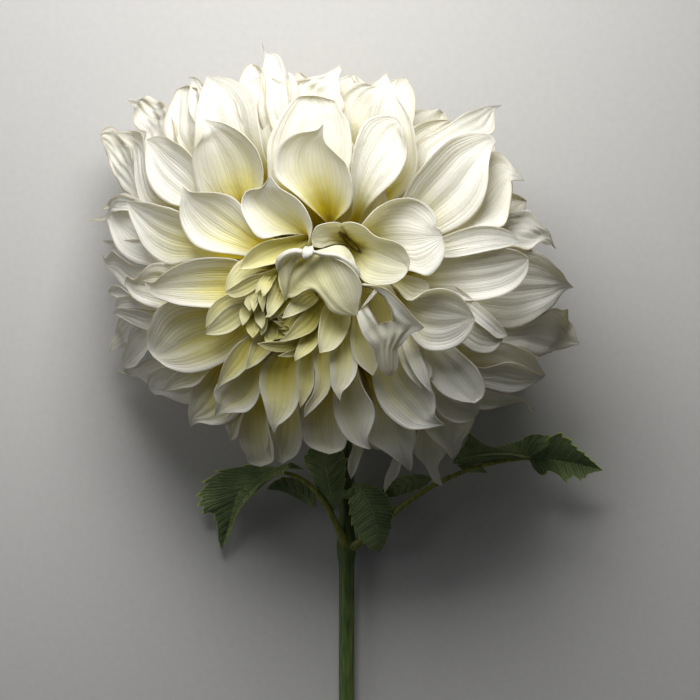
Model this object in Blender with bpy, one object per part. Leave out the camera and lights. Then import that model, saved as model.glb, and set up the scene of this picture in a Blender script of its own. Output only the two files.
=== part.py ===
"""A cut dahlia lying on its back: a full white bloom, its calyx, the stem and the leaves of one node.

X runs to the right of the bloom's face, Y up along it, and Z out of the surface that it lies on.
"""

import math

import bmesh
import bpy
import numpy as np

# Driving dimensions, in metres
BLOOM_CENTRE = np.array([-0.007, 0.072, 0.063])
BLOOM_SIDE = 0.118
BLOOM_FRONT = 0.084
BLOOM_BACK = 0.090
BACK_SIDE = 0.101
CORE_RADIUS = 0.036
STEM_RADIUS = 0.0038
STEM_END_Y = -0.182
PETAL_THICKNESS = 0.0008
LEAF_THICKNESS = 0.0008
GAP = 0.0003
SURFACE_CUT = 0.00015

# The way the bloom faces, tilted from straight up, and two directions at right angles to it
FACE_TILT = math.radians(29.0)
FACE_TOWARDS = math.radians(221.5)
FACING = np.array([
    math.sin(FACE_TILT) * math.cos(FACE_TOWARDS),
    math.sin(FACE_TILT) * math.sin(FACE_TOWARDS),
    math.cos(FACE_TILT),
])
ACROSS = np.cross([0.0, 1.0, 0.0], FACING)
ACROSS /= np.linalg.norm(ACROSS)
ALONG = np.cross(FACING, ACROSS)

# A petal's form: its width at the root and where it is widest, as shares, how it closes to a point,
# how its cup eases along it, how its centreline leaves the core and reaches the tip, and how the
# rows of its grid crowd towards the tip
ROOT_WIDTH = 0.34
WIDEST_AT = 0.62
POINT_SHARE = 0.08
SHOULDER_POWERS = (2.4, 0.8)
CUP_AT_ROOT = 1.5
CUP_AT_TIP = 1.25
ROOT_LEAN = 0.35
ROOT_PULL = 0.36
TIP_PULL = 0.34
TIP_DROOP = 0.15
FACE_SHARE = 0.6
ROW_CROWDING = 1.6
PETAL_ROWS = 4
SMALL_ROWS = 3
SMALL_WIDTH = 0.0255
PETAL_COLUMNS = 2

# Roots sit on a sphere inside the core, nearer the face than their tips, and run on into it
ROOT_RADIUS = 0.030
ROOT_SHARE = 0.80
BACK_ROOT_SHARE = 0.84
PETAL_SINK = 0.006
RADIAL_CURL = 0.1

# Petals set by rule: the heart, and the layers behind the ones that the face shows
GOLDEN_ANGLE = math.pi * (3 - math.sqrt(5))
HEART_PETALS = 10
HEART_FROM = math.radians(4)
HEART_TO = math.radians(16)
HEART_REACH = (0.070, 0.078)
HEART_WIDTH = (0.009, 0.015)
HEART_CUP = 0.9
HEART_CURL = 0.3
HEART_INWARD = 2.0
HEART_CLOSING = 0.75
BACK_PETALS = 42
BACK_FROM = math.radians(88)
BACK_TO = math.radians(156)
BACK_SIDE_SHARE = 0.3
BACK_REACH_SPREAD = (0.95, 1.03)
BACK_WIDTH = (0.030, 0.036)
BACK_CUP = 0.7
BACK_CURL = -0.4
PRESSED_CUP = 0.3
LIFTED_OFF_SURFACE = (0.001, 0.006)
RESTING_ANGLES = [math.radians(angle) for angle in (20, 75, 130, 200, 325)]
RESTING_REACH = 0.064
RESTING_DEPTH = -0.010 - BLOOM_CENTRE[2]
TURNS_ASIDE = [math.radians(turn) for turn in (0, 8, -8, 16, -16, 24, -24, 32, -32)]
SEED = 5

# Each row: tip to the right and up from the bloom's centre, width, cup
RADIAL_PETALS = (
    (0.031, 0.070, 0.028, 0.8),
    (-0.010, 0.083, 0.040, 0.9),
    (-0.062, 0.071, 0.037, 0.9),
    (-0.072, 0.037, 0.029, 0.9),
    (-0.061, 0.093, 0.036, 0.8),
    (-0.035, 0.109, 0.028, 0.7),
    (0.002, 0.096, 0.030, 0.6),
    (0.030, 0.091, 0.038, 0.8),
    (0.080, 0.080, 0.030, 0.6),
    (0.077, 0.061, 0.037, 0.8),
    (0.090, 0.043, 0.030, 0.6),
    (0.106, 0.012, 0.028, 0.6),
    (-0.101, 0.084, 0.031, 0.6),
    (-0.076, 0.090, 0.022, 0.6),
    (-0.071, 0.094, 0.020, 0.6),
    (0.088, 0.014, 0.030, 0.7),
    (0.093, 0.005, 0.032, 0.7),
    (0.116, -0.009, 0.039, 0.8),
    (0.119, -0.036, 0.027, 0.8),
    (0.082, -0.033, 0.022, 0.7),
    (0.102, -0.051, 0.030, 0.8),
    (0.097, -0.070, 0.023, 0.8),
    (0.071, -0.058, 0.028, 0.7),
    (0.063, -0.071, 0.030, 0.7),
    (0.052, -0.074, 0.030, 0.7),
    (0.036, -0.096, 0.030, 0.7),
    (0.052, -0.105, 0.022, 0.7),
    (0.057, -0.092, 0.030, 0.7),
    (0.018, -0.086, 0.028, 0.8),
    (0.002, -0.062, 0.015, 0.8),
    (-0.014, -0.071, 0.013, 0.8),
    (-0.029, -0.079, 0.022, 0.8),
    (-0.005, -0.089, 0.025, 0.8),
    (-0.041, -0.095, 0.028, 0.8),
    (-0.027, -0.087, 0.025, 0.8),
    (0.007, -0.097, 0.012, 0.8),
    (0.024, -0.108, 0.014, 0.8),
    (-0.058, -0.071, 0.023, 0.8),
    (-0.055, -0.057, 0.015, 0.8),
    (-0.062, -0.032, 0.017, 0.8),
    (-0.070, -0.076, 0.027, 0.8),
    (-0.050, -0.083, 0.013, 0.8),
    (-0.087, -0.042, 0.025, 0.8),
    (-0.090, -0.039, 0.030, 0.8),
    (-0.091, -0.058, 0.028, 0.8),
    (-0.107, -0.049, 0.029, 0.8),
    (-0.111, -0.038, 0.022, 0.8),
    (-0.108, -0.021, 0.025, 0.8),
    (-0.092, -0.006, 0.027, 0.8),
    (-0.111, -0.010, 0.015, 0.8),
    (-0.115, 0.007, 0.026, 0.8),
    (-0.115, 0.014, 0.015, 0.8),
    (-0.120, 0.025, 0.028, 0.8),
    (-0.100, 0.031, 0.027, 0.8),
    (-0.114, 0.032, 0.022, 0.8),
    (-0.114, 0.068, 0.026, 0.6),
    (-0.094, 0.066, 0.023, 0.7),
    (-0.088, 0.065, 0.029, 0.8),
)

# Each row: root to the right and up, tip to the right and up, width, cup, curl, lift
INNER_PETALS = (
    (0.000, 0.017, -0.004, 0.067, 0.041, 0.95, 0.5, 0.003),
    (-0.008, 0.015, -0.031, 0.040, 0.033, 1.1, 0.4, 0.004),
    (0.008, 0.016, 0.051, 0.016, 0.034, 0.8, -0.5, 0.006),
    (0.005, 0.012, 0.034, 0.002, 0.028, 1.0, -0.4, 0.012),
    (-0.006, 0.009, -0.023, -0.014, 0.020, -0.7, -0.6, 0.004),
    (-0.004, 0.010, 0.005, -0.023, 0.029, -0.6, -0.6, 0.006),
    (0.013, -0.006, 0.026, -0.050, 0.029, -0.5, -0.4, 0.006),
    (0.028, -0.008, 0.067, -0.026, 0.031, 0.7, 0.2, 0.004),
    (-0.014, 0.011, -0.045, -0.001, 0.017, 0.6, 0.0, 0.002),
    (-0.020, 0.005, -0.052, -0.011, 0.016, 0.6, 0.0, 0.0),
    (-0.009, -0.010, -0.025, -0.025, 0.012, 0.6, 0.0, 0.001),
    (-0.006, -0.013, -0.026, -0.035, 0.015, 0.6, 0.0, 0.0),
    (-0.006, -0.027, -0.019, -0.044, 0.014, 0.6, 0.0, 0.0),
    (0.003, -0.018, -0.007, -0.041, 0.017, 0.6, 0.0, 0.0),
)

# Calyx: a cup whose flat top meets the core, with bracts round it
CALYX_TOP = 0.033
CALYX_LENGTH = 0.011
CALYX_RADII = (0.0125, 0.0111, 0.0080, 0.0058, 0.0045)
CALYX_SIDES = 16
BRACTS = 6
BRACT_WIDTH = 0.009
BRACT_CUP = -0.5
BRACT_CURL = -0.2
BRACT_ROOT = (CALYX_TOP + 0.009, math.radians(168))
BRACT_TIP = (CALYX_TOP + 0.010, math.radians(154))

# Tubes start their rings from a direction that none of them starts along
TUBE_REFERENCE = (0.3, 0.1, 1.0)

# Stem: a neck that turns from the calyx to lie level, then a straight run to the cut end
STEM_SIDES = 10
STEM_RINGS = 30
NECK_RINGS = 12
STEM_RIDGE = 0.05
STEM_X = BLOOM_CENTRE[0] + 0.0060
NECK_Y = BLOOM_CENTRE[1] - 0.030
NECK_Z = 0.0125
NECK_START = 0.002
NECK_PULLS = (0.018, 0.026)
STEM_END_Z = (1 - STEM_RIDGE) * STEM_RADIUS - SURFACE_CUT
NODE_Y = -0.0655
NODE_LENGTH = 0.006
NODE_SWELL = 0.30

# How near a back petal's middle surface may come to the middle of what it keeps clear of
STEM_CLEARANCE = 0.0080
CALYX_CLEARANCE = 0.0210
LEAF_CLEARANCE = 0.0060

# Leaf form: how it opens at its base and closes to its tip, its teeth and pleats, and the stalk's
# radius from its foot to its end
LEAF_COLUMNS = 4
LEAF_BASE_SHARE = 0.02
LEAF_POWERS = (0.5, 0.75)
LEAF_FULLNESS = 2.3
TOOTH_DEPTH = 0.16
PLEAT_DEPTH = 0.0009
PLEAT_REACH = 0.8
STALK_STEPS = 100
STALK_RINGS = 14
STALK_SIDES = 6
STALK_SHARES = (0, 0.12, 0.4, 1)
STALK_RADII = (0.0036, 0.0022, 0.0016, 0.0009)

# Each leaf: its stalk's four control points, then a row for each leaflet with its place along the
# stalk, the bend and tip of its midrib, its width to the left and right of the midrib, the rise of
# each side, and its number of teeth
LEAVES = {
    "leaf_left": (
        ((-0.0005, -0.067, 0.009), (-0.006, -0.054, 0.018), (-0.015, -0.030, 0.024), (-0.032, -0.028, 0.022)),
        (
            (0.97, (-0.058, -0.033, 0.024), (-0.064, -0.067, 0.003), 0.005, 0.022, -0.007, -0.008, 7),
            (0.35, (-0.022, -0.046, 0.016), (-0.041, -0.036, 0.010), 0.005, 0.005, -0.002, -0.002, 4),
            (0.45, (-0.014, -0.026, 0.024), (-0.002, -0.012, 0.026), 0.010, 0.012, -0.003, -0.003, 4),
        ),
    ),
    "leaf_right": (
        ((-0.0005, -0.066, 0.009), (0.012, -0.062, 0.016), (0.030, -0.022, 0.028), (0.088, -0.0205, 0.030)),
        (
            (0.93, (0.106, -0.017, 0.034), (0.128, -0.027, 0.026), 0.012, 0.013, 0.004, -0.008, 6),
            (0.76, (0.056, -0.014, 0.034), (0.062, -0.007, 0.036), 0.005, 0.010, 0.002, 0.002, 3),
            (0.62, (0.026, -0.030, 0.022), (0.012, -0.034, 0.018), 0.006, 0.006, -0.001, -0.001, 4),
            (0.12, (0.012, -0.056, 0.014), (0.021, -0.060, 0.008), 0.005, 0.007, 0.0, -0.001, 3),
        ),
    ),
}


def unit(vector):
    """The vector at length 1."""
    return vector / np.linalg.norm(vector, axis=-1, keepdims=True)


def on_sphere(polar, around):
    """Unit direction at this angle from the bloom's facing and this angle round it."""
    return (
        math.sin(polar) * (math.cos(around) * ACROSS + math.sin(around) * ALONG)
        + math.cos(polar) * FACING
    )


def bezier(ends, count):
    """Points along a Bezier curve, whatever its number of control points."""
    t = np.linspace(0, 1, count)[:, None]
    layers = [np.repeat([point], count, axis=0) for point in ends]
    while len(layers) > 1:
        layers = [(1 - t) * a + t * b for a, b in zip(layers, layers[1:])]
    return layers[0]


def material(name, color, roughness):
    made = bpy.data.materials.new(name)
    made.use_nodes = True
    shader = made.node_tree.nodes["Principled BSDF"]
    shader.inputs["Base Color"].default_value = (*color, 1.0)
    shader.inputs["Roughness"].default_value = roughness
    return made


def collection(name):
    made = bpy.data.collections.new(name)
    bpy.context.scene.collection.children.link(made)
    return made


def mesh_object(name, points, faces, home=None):
    """An object with this mesh, in the scene's collection or in another one."""
    mesh = bpy.data.meshes.new(name)
    mesh.from_pydata(np.asarray(points).tolist(), [], faces)
    made = bpy.data.objects.new(name, mesh)
    (home or bpy.context.scene.collection).objects.link(made)
    return made


def bmesh_object(name, shape):
    """An object made from a bmesh, which it frees."""
    mesh = bpy.data.meshes.new(name)
    shape.to_mesh(mesh)
    shape.free()
    made = bpy.data.objects.new(name, mesh)
    bpy.context.scene.collection.objects.link(made)
    return made


def applied(obj):
    """The object with its modifiers worked into its mesh."""
    graph = bpy.context.evaluated_depsgraph_get()
    mesh = bpy.data.meshes.new_from_object(obj.evaluated_get(graph))
    obj.modifiers.clear()
    obj.data = mesh
    return obj


def keep_one_body(obj):
    """Keeps the largest closed shell, so that sealed hollows are filled and loose scraps dropped."""
    shape = bmesh.new()
    shape.from_mesh(obj.data)
    largest = set()
    seen = set()
    for start in shape.verts:
        if start in seen:
            continue
        shell = {start}
        front = [start]
        while front:
            near = {vert for edge in front.pop().link_edges for vert in edge.verts} - shell
            shell |= near
            front.extend(near)
        seen |= shell
        largest = max(largest, shell, key=len)
    loose = [vert for vert in shape.verts if vert not in largest]
    bmesh.ops.delete(shape, geom=loose, context="VERTS")
    shape.to_mesh(obj.data)
    shape.free()


def join(body, pieces):
    """One Boolean union of a collection's pieces onto the body, after which the pieces are removed."""
    union = body.modifiers.new("union", "BOOLEAN")
    union.operation = "UNION"
    union.operand_type = "COLLECTION"
    union.collection = pieces
    union.solver = "MANIFOLD"
    applied(body)
    for obj in list(pieces.objects):
        bpy.data.objects.remove(obj)
    bpy.data.collections.remove(pieces)
    keep_one_body(body)


def subtract(body, cutter):
    """Cuts the cutter out of the body, then removes the cutter."""
    cut = body.modifiers.new("cut", "BOOLEAN")
    cut.operation = "DIFFERENCE"
    cut.object = cutter
    cut.solver = "MANIFOLD"
    applied(body)
    bpy.data.objects.remove(cutter)
    keep_one_body(body)


def cut_at_surface(body):
    """Takes off what reaches below the surface that the flower lies on."""
    box = bmesh.new()
    bmesh.ops.create_cube(box, size=1.0)
    bmesh.ops.translate(box, verts=box.verts, vec=(0, 0, -0.5))
    subtract(body, bmesh_object("below", box))


def sheet_faces(rows, columns):
    """Triangles of a grid of points whose last row is a single point."""
    faces = []
    for i in range(rows - 1):
        for j in range(columns):
            a = i * (columns + 1) + j
            b = a + columns + 1
            if j < columns / 2:
                faces += [(a, a + 1, b), (a + 1, b + 1, b)]
            else:
                faces += [(a, a + 1, b + 1), (a, b + 1, b)]
    last = (rows - 1) * (columns + 1)
    return faces + [(last + j, last + j + 1, last + columns + 1) for j in range(columns)]


def blade(surface, thickness, home):
    """A closed blade round a middle surface whose last row is drawn to its tip."""
    rows, columns = surface.shape[0] - 1, surface.shape[1] - 1
    points = np.concatenate([surface[:-1].reshape(-1, 3), surface[-1:, 0]])
    made = mesh_object("blade", points, sheet_faces(rows, columns), home)
    thick = made.modifiers.new("thick", "SOLIDIFY")
    thick.thickness = thickness
    thick.offset = 0.0
    return applied(made)


def tube(name, path, radii, sides, ridge=0.0):
    """A closed tube along a path, its radius given at each point, with a ridge on every other side."""
    ahead = unit(np.gradient(path, axis=0))
    side = unit(np.cross(ahead[0], TUBE_REFERENCE))
    angles = np.arange(sides) * 2 * math.pi / sides
    swell = 1 + ridge * np.cos(angles * sides / 2)
    rings = []
    for place, way, radius in zip(path, ahead, radii):
        side = unit(side - way * (side @ way))
        ring = np.cos(angles)[:, None] * side + np.sin(angles)[:, None] * np.cross(way, side)
        rings.append(place + radius * swell[:, None] * ring)
    faces = [tuple(range(sides - 1, -1, -1))]
    for i in range(len(path) - 1):
        for j in range(sides):
            a, b = i * sides + j, i * sides + (j + 1) % sides
            faces += [(a, b, b + sides), (a, b + sides, a + sides)]
    last = (len(path) - 1) * sides
    faces.append(tuple(range(last, last + sides)))
    return mesh_object(name, np.concatenate(rings), faces)


def front_height(x, y, along, across):
    """Height over (x, y) of the front of an ellipsoid that points the way the bloom faces. Past the
    ellipsoid's outline it is the height at which the outline would be."""
    a, b = 1 / along**2, 1 / across**2
    k = a - b
    lean = FACING[0] * x + FACING[1] * y
    square = b + k * FACING[2] ** 2
    linear = 2 * k * lean * FACING[2]
    constant = b * (x * x + y * y) + k * lean**2 - 1
    return (-linear + math.sqrt(max(linear**2 - 4 * square * constant, 0.0))) / (2 * square)


def petal_surface(root, tip, width, cup, curl, rows, inward=0.0):
    """Middle surface of a petal, from the bloom's centre: a bent centreline from root to tip with
    arcs across it that open towards the bloom's face, or inward to its axis. It widens from the root,
    rounds off and is drawn to a point."""
    chord = tip - root
    length = np.linalg.norm(chord)
    outward = unit(root)
    skin = unit(tip / np.array([BLOOM_SIDE, BLOOM_SIDE, BLOOM_FRONT]))
    from_axis = unit(tip - (tip @ FACING) * FACING)
    leaving = unit(outward + ROOT_LEAN * chord / length)
    ending = unit(chord / length + (curl - TIP_DROOP) * skin)
    first = root - outward * PETAL_SINK
    second = root + leaving * length * ROOT_PULL
    third = tip - ending * length * TIP_PULL
    s = (1 - (1 - np.linspace(0, 1, rows + 1)) ** ROW_CROWDING)[:, None]
    centre = (1 - s) ** 3 * first + 3 * (1 - s) ** 2 * s * second
    centre = centre + 3 * (1 - s) * s**2 * third + s**3 * tip
    ahead = (1 - s) ** 2 * (second - first) + 2 * (1 - s) * s * (third - second)
    ahead = unit(ahead + s**2 * (tip - third))
    side = np.cross(chord, FACE_SHARE * FACING + skin - inward * from_axis)
    side = unit(side - (ahead @ side)[:, None] * ahead)
    normal = np.cross(side, ahead)
    widening = np.clip(s / WIDEST_AT, 0, 1)
    closing = np.clip((s - WIDEST_AT) / (1 - WIDEST_AT), 0, 1)
    half = ROOT_WIDTH + (1 - ROOT_WIDTH) * widening**2 * (3 - 2 * widening)
    half = half * (1 - POINT_SHARE) * (1 - closing ** SHOULDER_POWERS[0]) ** SHOULDER_POWERS[1] + (
        half * POINT_SHARE * (1 - closing)
    )
    half = half * width / 2
    v = np.linspace(-1, 1, PETAL_COLUMNS + 1)[None, :]
    turn = abs(cup) * (CUP_AT_ROOT + (1 - CUP_AT_ROOT) * widening + (CUP_AT_TIP - 1) * closing**3)
    out = half * np.sin(turn * v) / np.sin(turn)
    up = half * (1 - np.cos(turn * v)) / np.sin(turn) * math.copysign(1, cup)
    return centre[:, None] + out[..., None] * side[:, None] + up[..., None] * normal[:, None]


def direction_of(tip):
    """Angle of a tip from the bloom's facing, and its angle round it."""
    return math.acos(unit(tip) @ FACING), math.atan2(tip @ ALONG, tip @ ACROSS)


def radial_root(tip):
    """Root for a tip: nearer the face than the tip, on the same line round it."""
    polar, around = direction_of(tip)
    return ROOT_RADIUS * on_sphere(polar * ROOT_SHARE, around)


def front_petals():
    """Middle surfaces of the petals that the face shows."""
    for x, y, width, cup in RADIAL_PETALS:
        tip = np.array([x, y, front_height(x, y, BLOOM_FRONT, BLOOM_SIDE)])
        rows = PETAL_ROWS if width > SMALL_WIDTH else SMALL_ROWS
        yield petal_surface(radial_root(tip), tip, width, cup, RADIAL_CURL, rows)
    for root_x, root_y, x, y, width, cup, curl, lift in INNER_PETALS:
        root = np.array([root_x, root_y, front_height(root_x, root_y, ROOT_RADIUS, ROOT_RADIUS)])
        tip = np.array([x, y, front_height(x, y, BLOOM_FRONT, BLOOM_SIDE) + lift])
        rows = PETAL_ROWS if width > SMALL_WIDTH else SMALL_ROWS
        yield petal_surface(root, tip, width, cup, curl, rows)


def heart_petals():
    """Middle surfaces of the small upright petals round the bloom's axis, in golden angles."""
    for i in range(HEART_PETALS):
        share = i / (HEART_PETALS - 1)
        polar = HEART_FROM + (HEART_TO - HEART_FROM) * share
        reach = np.interp(share, (0, 1), HEART_REACH)
        width = np.interp(share, (0, 1), HEART_WIDTH)
        root = ROOT_RADIUS * on_sphere(polar, i * GOLDEN_ANGLE)
        tip = reach * on_sphere(polar * HEART_CLOSING, i * GOLDEN_ANGLE)
        yield petal_surface(root, tip, width, HEART_CUP, HEART_CURL, SMALL_ROWS, HEART_INWARD)


def filled_in(surface, steps=5):
    """The same surface with more points along and across it, evenly between the first ones."""
    for _ in range(2):
        share = np.linspace(0, 1, steps, endpoint=False)[None, :, None, None]
        between = (1 - share) * surface[:-1, None] + share * surface[1:, None]
        surface = np.concatenate([between.reshape(-1, *surface.shape[1:]), surface[-1:]])
        surface = surface.swapaxes(0, 1)
    return surface


def clear_petal(polar, around, reach, width, lift, obstacles):
    """Middle surface of a back petal, turned aside until it is clear of the stem, the calyx and the
    leaves, or None if no turn clears it. It bends where it meets the surface below."""
    lowest = lift + PETAL_THICKNESS / 2 - SURFACE_CUT - BLOOM_CENTRE[2]
    for turn in TURNS_ASIDE:
        tip = reach * on_sphere(polar, around + turn)
        root = ROOT_RADIUS * on_sphere(polar * BACK_ROOT_SHARE, around + turn)
        cup = BACK_CUP if tip[2] > lowest else PRESSED_CUP
        surface = petal_surface(root, tip, width, cup, BACK_CURL, SMALL_ROWS)
        surface[..., 2] = np.maximum(surface[..., 2], lowest)
        apart = filled_in(surface).reshape(-1, 1, 3) + BLOOM_CENTRE - obstacles[:, :3]
        if (np.linalg.norm(apart, axis=-1) > obstacles[:, 3]).all():
            return surface
    return None


def back_petals(obstacles):
    """Middle surfaces of the petals behind: layers in golden angles, then those that lie flat on the
    surface round the bloom's weight."""
    rng = np.random.default_rng(SEED)
    made = []
    for i in range(BACK_PETALS):
        share = (i + 0.5) / BACK_PETALS
        polar = BACK_FROM + (BACK_TO - BACK_FROM) * share
        reach = np.interp(share, (BACK_SIDE_SHARE, 1), (BACK_SIDE, BLOOM_BACK))
        reach *= rng.uniform(*BACK_REACH_SPREAD)
        lift = rng.uniform(*LIFTED_OFF_SURFACE)
        around = i * GOLDEN_ANGLE
        made.append(clear_petal(polar, around, reach, rng.uniform(*BACK_WIDTH), lift, obstacles))
    for angle in RESTING_ANGLES:
        tip = np.array([RESTING_REACH * math.cos(angle), RESTING_REACH * math.sin(angle), RESTING_DEPTH])
        made.append(clear_petal(*direction_of(tip), np.linalg.norm(tip), BACK_WIDTH[1], 0.0, obstacles))
    return [surface for surface in made if surface is not None]


def bloom(obstacles):
    """White bloom: all its petals joined on a small round core, which is flat where the calyx meets it."""
    petals = collection("petals")
    for surface in [*front_petals(), *heart_petals(), *back_petals(obstacles)]:
        blade(surface + BLOOM_CENTRE, PETAL_THICKNESS, petals)
    core = bmesh.new()
    bmesh.ops.create_icosphere(core, subdivisions=2, radius=CORE_RADIUS)
    bmesh.ops.translate(core, verts=core.verts, vec=BLOOM_CENTRE)
    cut = bmesh.ops.bisect_plane(
        core,
        geom=core.verts[:] + core.edges[:] + core.faces[:],
        plane_co=BLOOM_CENTRE - FACING * CALYX_TOP,
        plane_no=-FACING,
        clear_outer=True,
    )
    rim = [part for part in cut["geom_cut"] if isinstance(part, bmesh.types.BMEdge)]
    bmesh.ops.edgeloop_fill(core, edges=rim)
    made = bmesh_object("bloom", core)
    join(made, petals)
    cut_at_surface(made)
    made.data.materials.append(material("petal_white", (0.90, 0.89, 0.83), 0.55))


def calyx():
    """Green cup behind the bloom, with a ring of short bracts bent back."""
    bracts = collection("bracts")
    for i in range(BRACTS):
        around = i * 2 * math.pi / BRACTS
        root, tip = (reach * on_sphere(polar, around) for reach, polar in (BRACT_ROOT, BRACT_TIP))
        surface = petal_surface(root, tip, BRACT_WIDTH, BRACT_CUP, BRACT_CURL, SMALL_ROWS)
        blade(surface + BLOOM_CENTRE, PETAL_THICKNESS, bracts)
    depths = CALYX_TOP + GAP + np.linspace(0, CALYX_LENGTH, len(CALYX_RADII))
    made = tube("calyx", BLOOM_CENTRE - FACING * depths[:, None], CALYX_RADII, CALYX_SIDES)
    join(made, bracts)
    made.data.materials.append(material("calyx_green", (0.16, 0.24, 0.06), 0.55))


def stem_path():
    """Centreline of the stem: the neck turns from behind the bloom, then runs down to the cut end."""
    start = BLOOM_CENTRE - FACING * (CALYX_TOP + CALYX_LENGTH + 2 * GAP)
    level = np.array([STEM_X, NECK_Y, NECK_Z])
    end = np.array([STEM_X, STEM_END_Y, STEM_END_Z])
    slope = unit(end - level)
    bent_from = start - FACING * NECK_START
    neck = bezier(
        (bent_from, start - FACING * NECK_PULLS[0], level - slope * NECK_PULLS[1], level), NECK_RINGS
    )
    run = level + (end - level) * np.linspace(0, 1, STEM_RINGS)[1:, None]
    return np.concatenate([[start], neck, run])


def stem_tube(name, path, wider=0.0):
    """The stem's form: ridged, and swollen at the node that bears the leaves."""
    radii = STEM_RADIUS * (1 + NODE_SWELL * np.exp(-((path[:, 1] - NODE_Y) / NODE_LENGTH) ** 2))
    return tube(name, path, radii + wider, STEM_SIDES, STEM_RIDGE)


def stem(path):
    """Green stem, with its cut end on the surface."""
    made = stem_tube("stem", path)
    cut_at_surface(made)
    made.data.materials.append(material("stem_green", (0.10, 0.16, 0.04), 0.5))


def leaflet_surface(base, bend, tip, left, right, left_rise, right_rise, teeth):
    """Middle surface of a leaflet on a bent midrib: widest in its lower half, drawn to a point, each
    side with its own width and rise, cut into teeth and pleated along the side veins."""
    rows = 2 * teeth + 1
    midrib = bezier((base, bend, tip), rows + 1)
    ahead = np.gradient(midrib, axis=0)
    side = unit(np.stack([-ahead[:, 1], ahead[:, 0], np.zeros(rows + 1)], -1))
    s = np.linspace(0, 1, rows + 1)[:, None]
    v = np.linspace(-1, 1, LEAF_COLUMNS + 1)[None, :]
    form = LEAF_FULLNESS * (s + LEAF_BASE_SHARE) ** LEAF_POWERS[0] * (1 - s) ** LEAF_POWERS[1]
    notched = (np.arange(rows + 1)[:, None] % 2 == 0) & (abs(v) == 1)
    width = np.where(v < 0, right, left) * form * np.where(notched, 1 - TOOTH_DEPTH, 1.0)
    rise = np.where(v < 0, right_rise, left_rise) * v**2
    pleat = PLEAT_DEPTH * np.cos(math.pi * np.arange(rows + 1))[:, None]
    pleat = pleat * np.sin(PLEAT_REACH * math.pi * abs(v))
    surface = midrib[:, None] + (width * v)[..., None] * side[:, None]
    surface[..., 2] += (rise + pleat) * form
    return surface


def leaf_surfaces(stalk, leaflets):
    """Middle surface of each leaflet, its base on the stalk at the share that its row gives."""
    line = bezier(stalk, STALK_STEPS + 1)
    for share, bend, tip, *sizes in leaflets:
        yield leaflet_surface(line[round(STALK_STEPS * share)], bend, tip, *sizes)


def leaf(name, stalk, leaflets, path_of_stem):
    """One leaf: leaflets joined to a stalk whose foot fits round the stem."""
    blades = collection("blades")
    for surface in leaf_surfaces(stalk, leaflets):
        blade(surface, LEAF_THICKNESS, blades)
    radii = np.interp(np.linspace(0, 1, STALK_RINGS), STALK_SHARES, STALK_RADII)
    made = tube(name, bezier(stalk, STALK_RINGS), radii, STALK_SIDES)
    join(made, blades)
    subtract(made, stem_tube("stem_cutter", path_of_stem, GAP))
    return made


def what_petals_avoid(path_of_stem):
    """Points of the stem, the calyx and the leaves, each with the distance to keep from it."""
    calyx_middle = BLOOM_CENTRE - FACING * (CALYX_TOP + CALYX_LENGTH / 2)
    rows = [np.insert(path_of_stem, 3, STEM_CLEARANCE, axis=1), [[*calyx_middle, CALYX_CLEARANCE]]]
    for stalk, leaflets in LEAVES.values():
        for surface in leaf_surfaces(stalk, leaflets):
            rows.append(np.insert(surface.reshape(-1, 3), 3, LEAF_CLEARANCE, axis=1))
    return np.concatenate(rows)


for obj in list(bpy.data.objects):
    bpy.data.objects.remove(obj)

path_of_stem = stem_path()
bloom(what_petals_avoid(path_of_stem))
calyx()
stem(path_of_stem)
leaf_green = material("leaf_green", (0.05, 0.13, 0.03), 0.5)
for name, (stalk, leaflets) in LEAVES.items():
    leaf(name, stalk, leaflets, path_of_stem).data.materials.append(leaf_green)
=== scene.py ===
"""Looks of a cut white dahlia that lies on its back: its bloom, calyx, ridged stem and two leaves.

X runs to the right of the bloom's face, Y up along it, and Z out of the floor. Rows of petals give
millimetres from the bloom's centre, rows of stalks and leaflets give them from the middle of the
floor, and every other length is in metres.
"""

import math

import bmesh
import bpy
import numpy as np
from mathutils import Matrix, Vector


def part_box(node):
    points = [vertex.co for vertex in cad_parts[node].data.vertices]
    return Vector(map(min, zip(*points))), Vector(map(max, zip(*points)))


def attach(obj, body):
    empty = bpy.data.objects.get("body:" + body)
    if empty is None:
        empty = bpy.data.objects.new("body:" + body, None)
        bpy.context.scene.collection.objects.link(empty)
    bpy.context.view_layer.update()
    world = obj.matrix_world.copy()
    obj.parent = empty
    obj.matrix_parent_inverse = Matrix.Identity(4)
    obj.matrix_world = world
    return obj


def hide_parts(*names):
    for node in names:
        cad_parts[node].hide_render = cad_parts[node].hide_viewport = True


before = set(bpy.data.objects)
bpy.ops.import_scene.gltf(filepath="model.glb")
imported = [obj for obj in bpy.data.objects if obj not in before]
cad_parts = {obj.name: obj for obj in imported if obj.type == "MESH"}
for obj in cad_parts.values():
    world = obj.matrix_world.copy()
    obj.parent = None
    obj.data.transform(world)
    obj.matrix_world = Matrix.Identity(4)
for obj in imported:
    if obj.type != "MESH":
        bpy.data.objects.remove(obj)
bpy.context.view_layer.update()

# Outer petals
# The long petals that make the bloom's outline, thin and soft, grown from the flower's base. They are
# its oldest, so their edges are creased, and some tips have dried, twisted and browned.

MM = 0.001
BLOOM_CENTRE = np.array([-0.007, 0.072, 0.063])
BLOOM_SIDE = 0.118
BLOOM_FRONT = 0.084
FACE_TILT = math.radians(29.0)
FACE_TOWARDS = math.radians(221.5)
FACING = np.array([
    math.sin(FACE_TILT) * math.cos(FACE_TOWARDS),
    math.sin(FACE_TILT) * math.sin(FACE_TOWARDS),
    math.cos(FACE_TILT),
])
ACROSS = np.cross([0.0, 1.0, 0.0], FACING)
ACROSS /= np.linalg.norm(ACROSS)
ALONG = np.cross(FACING, ACROSS)

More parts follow.
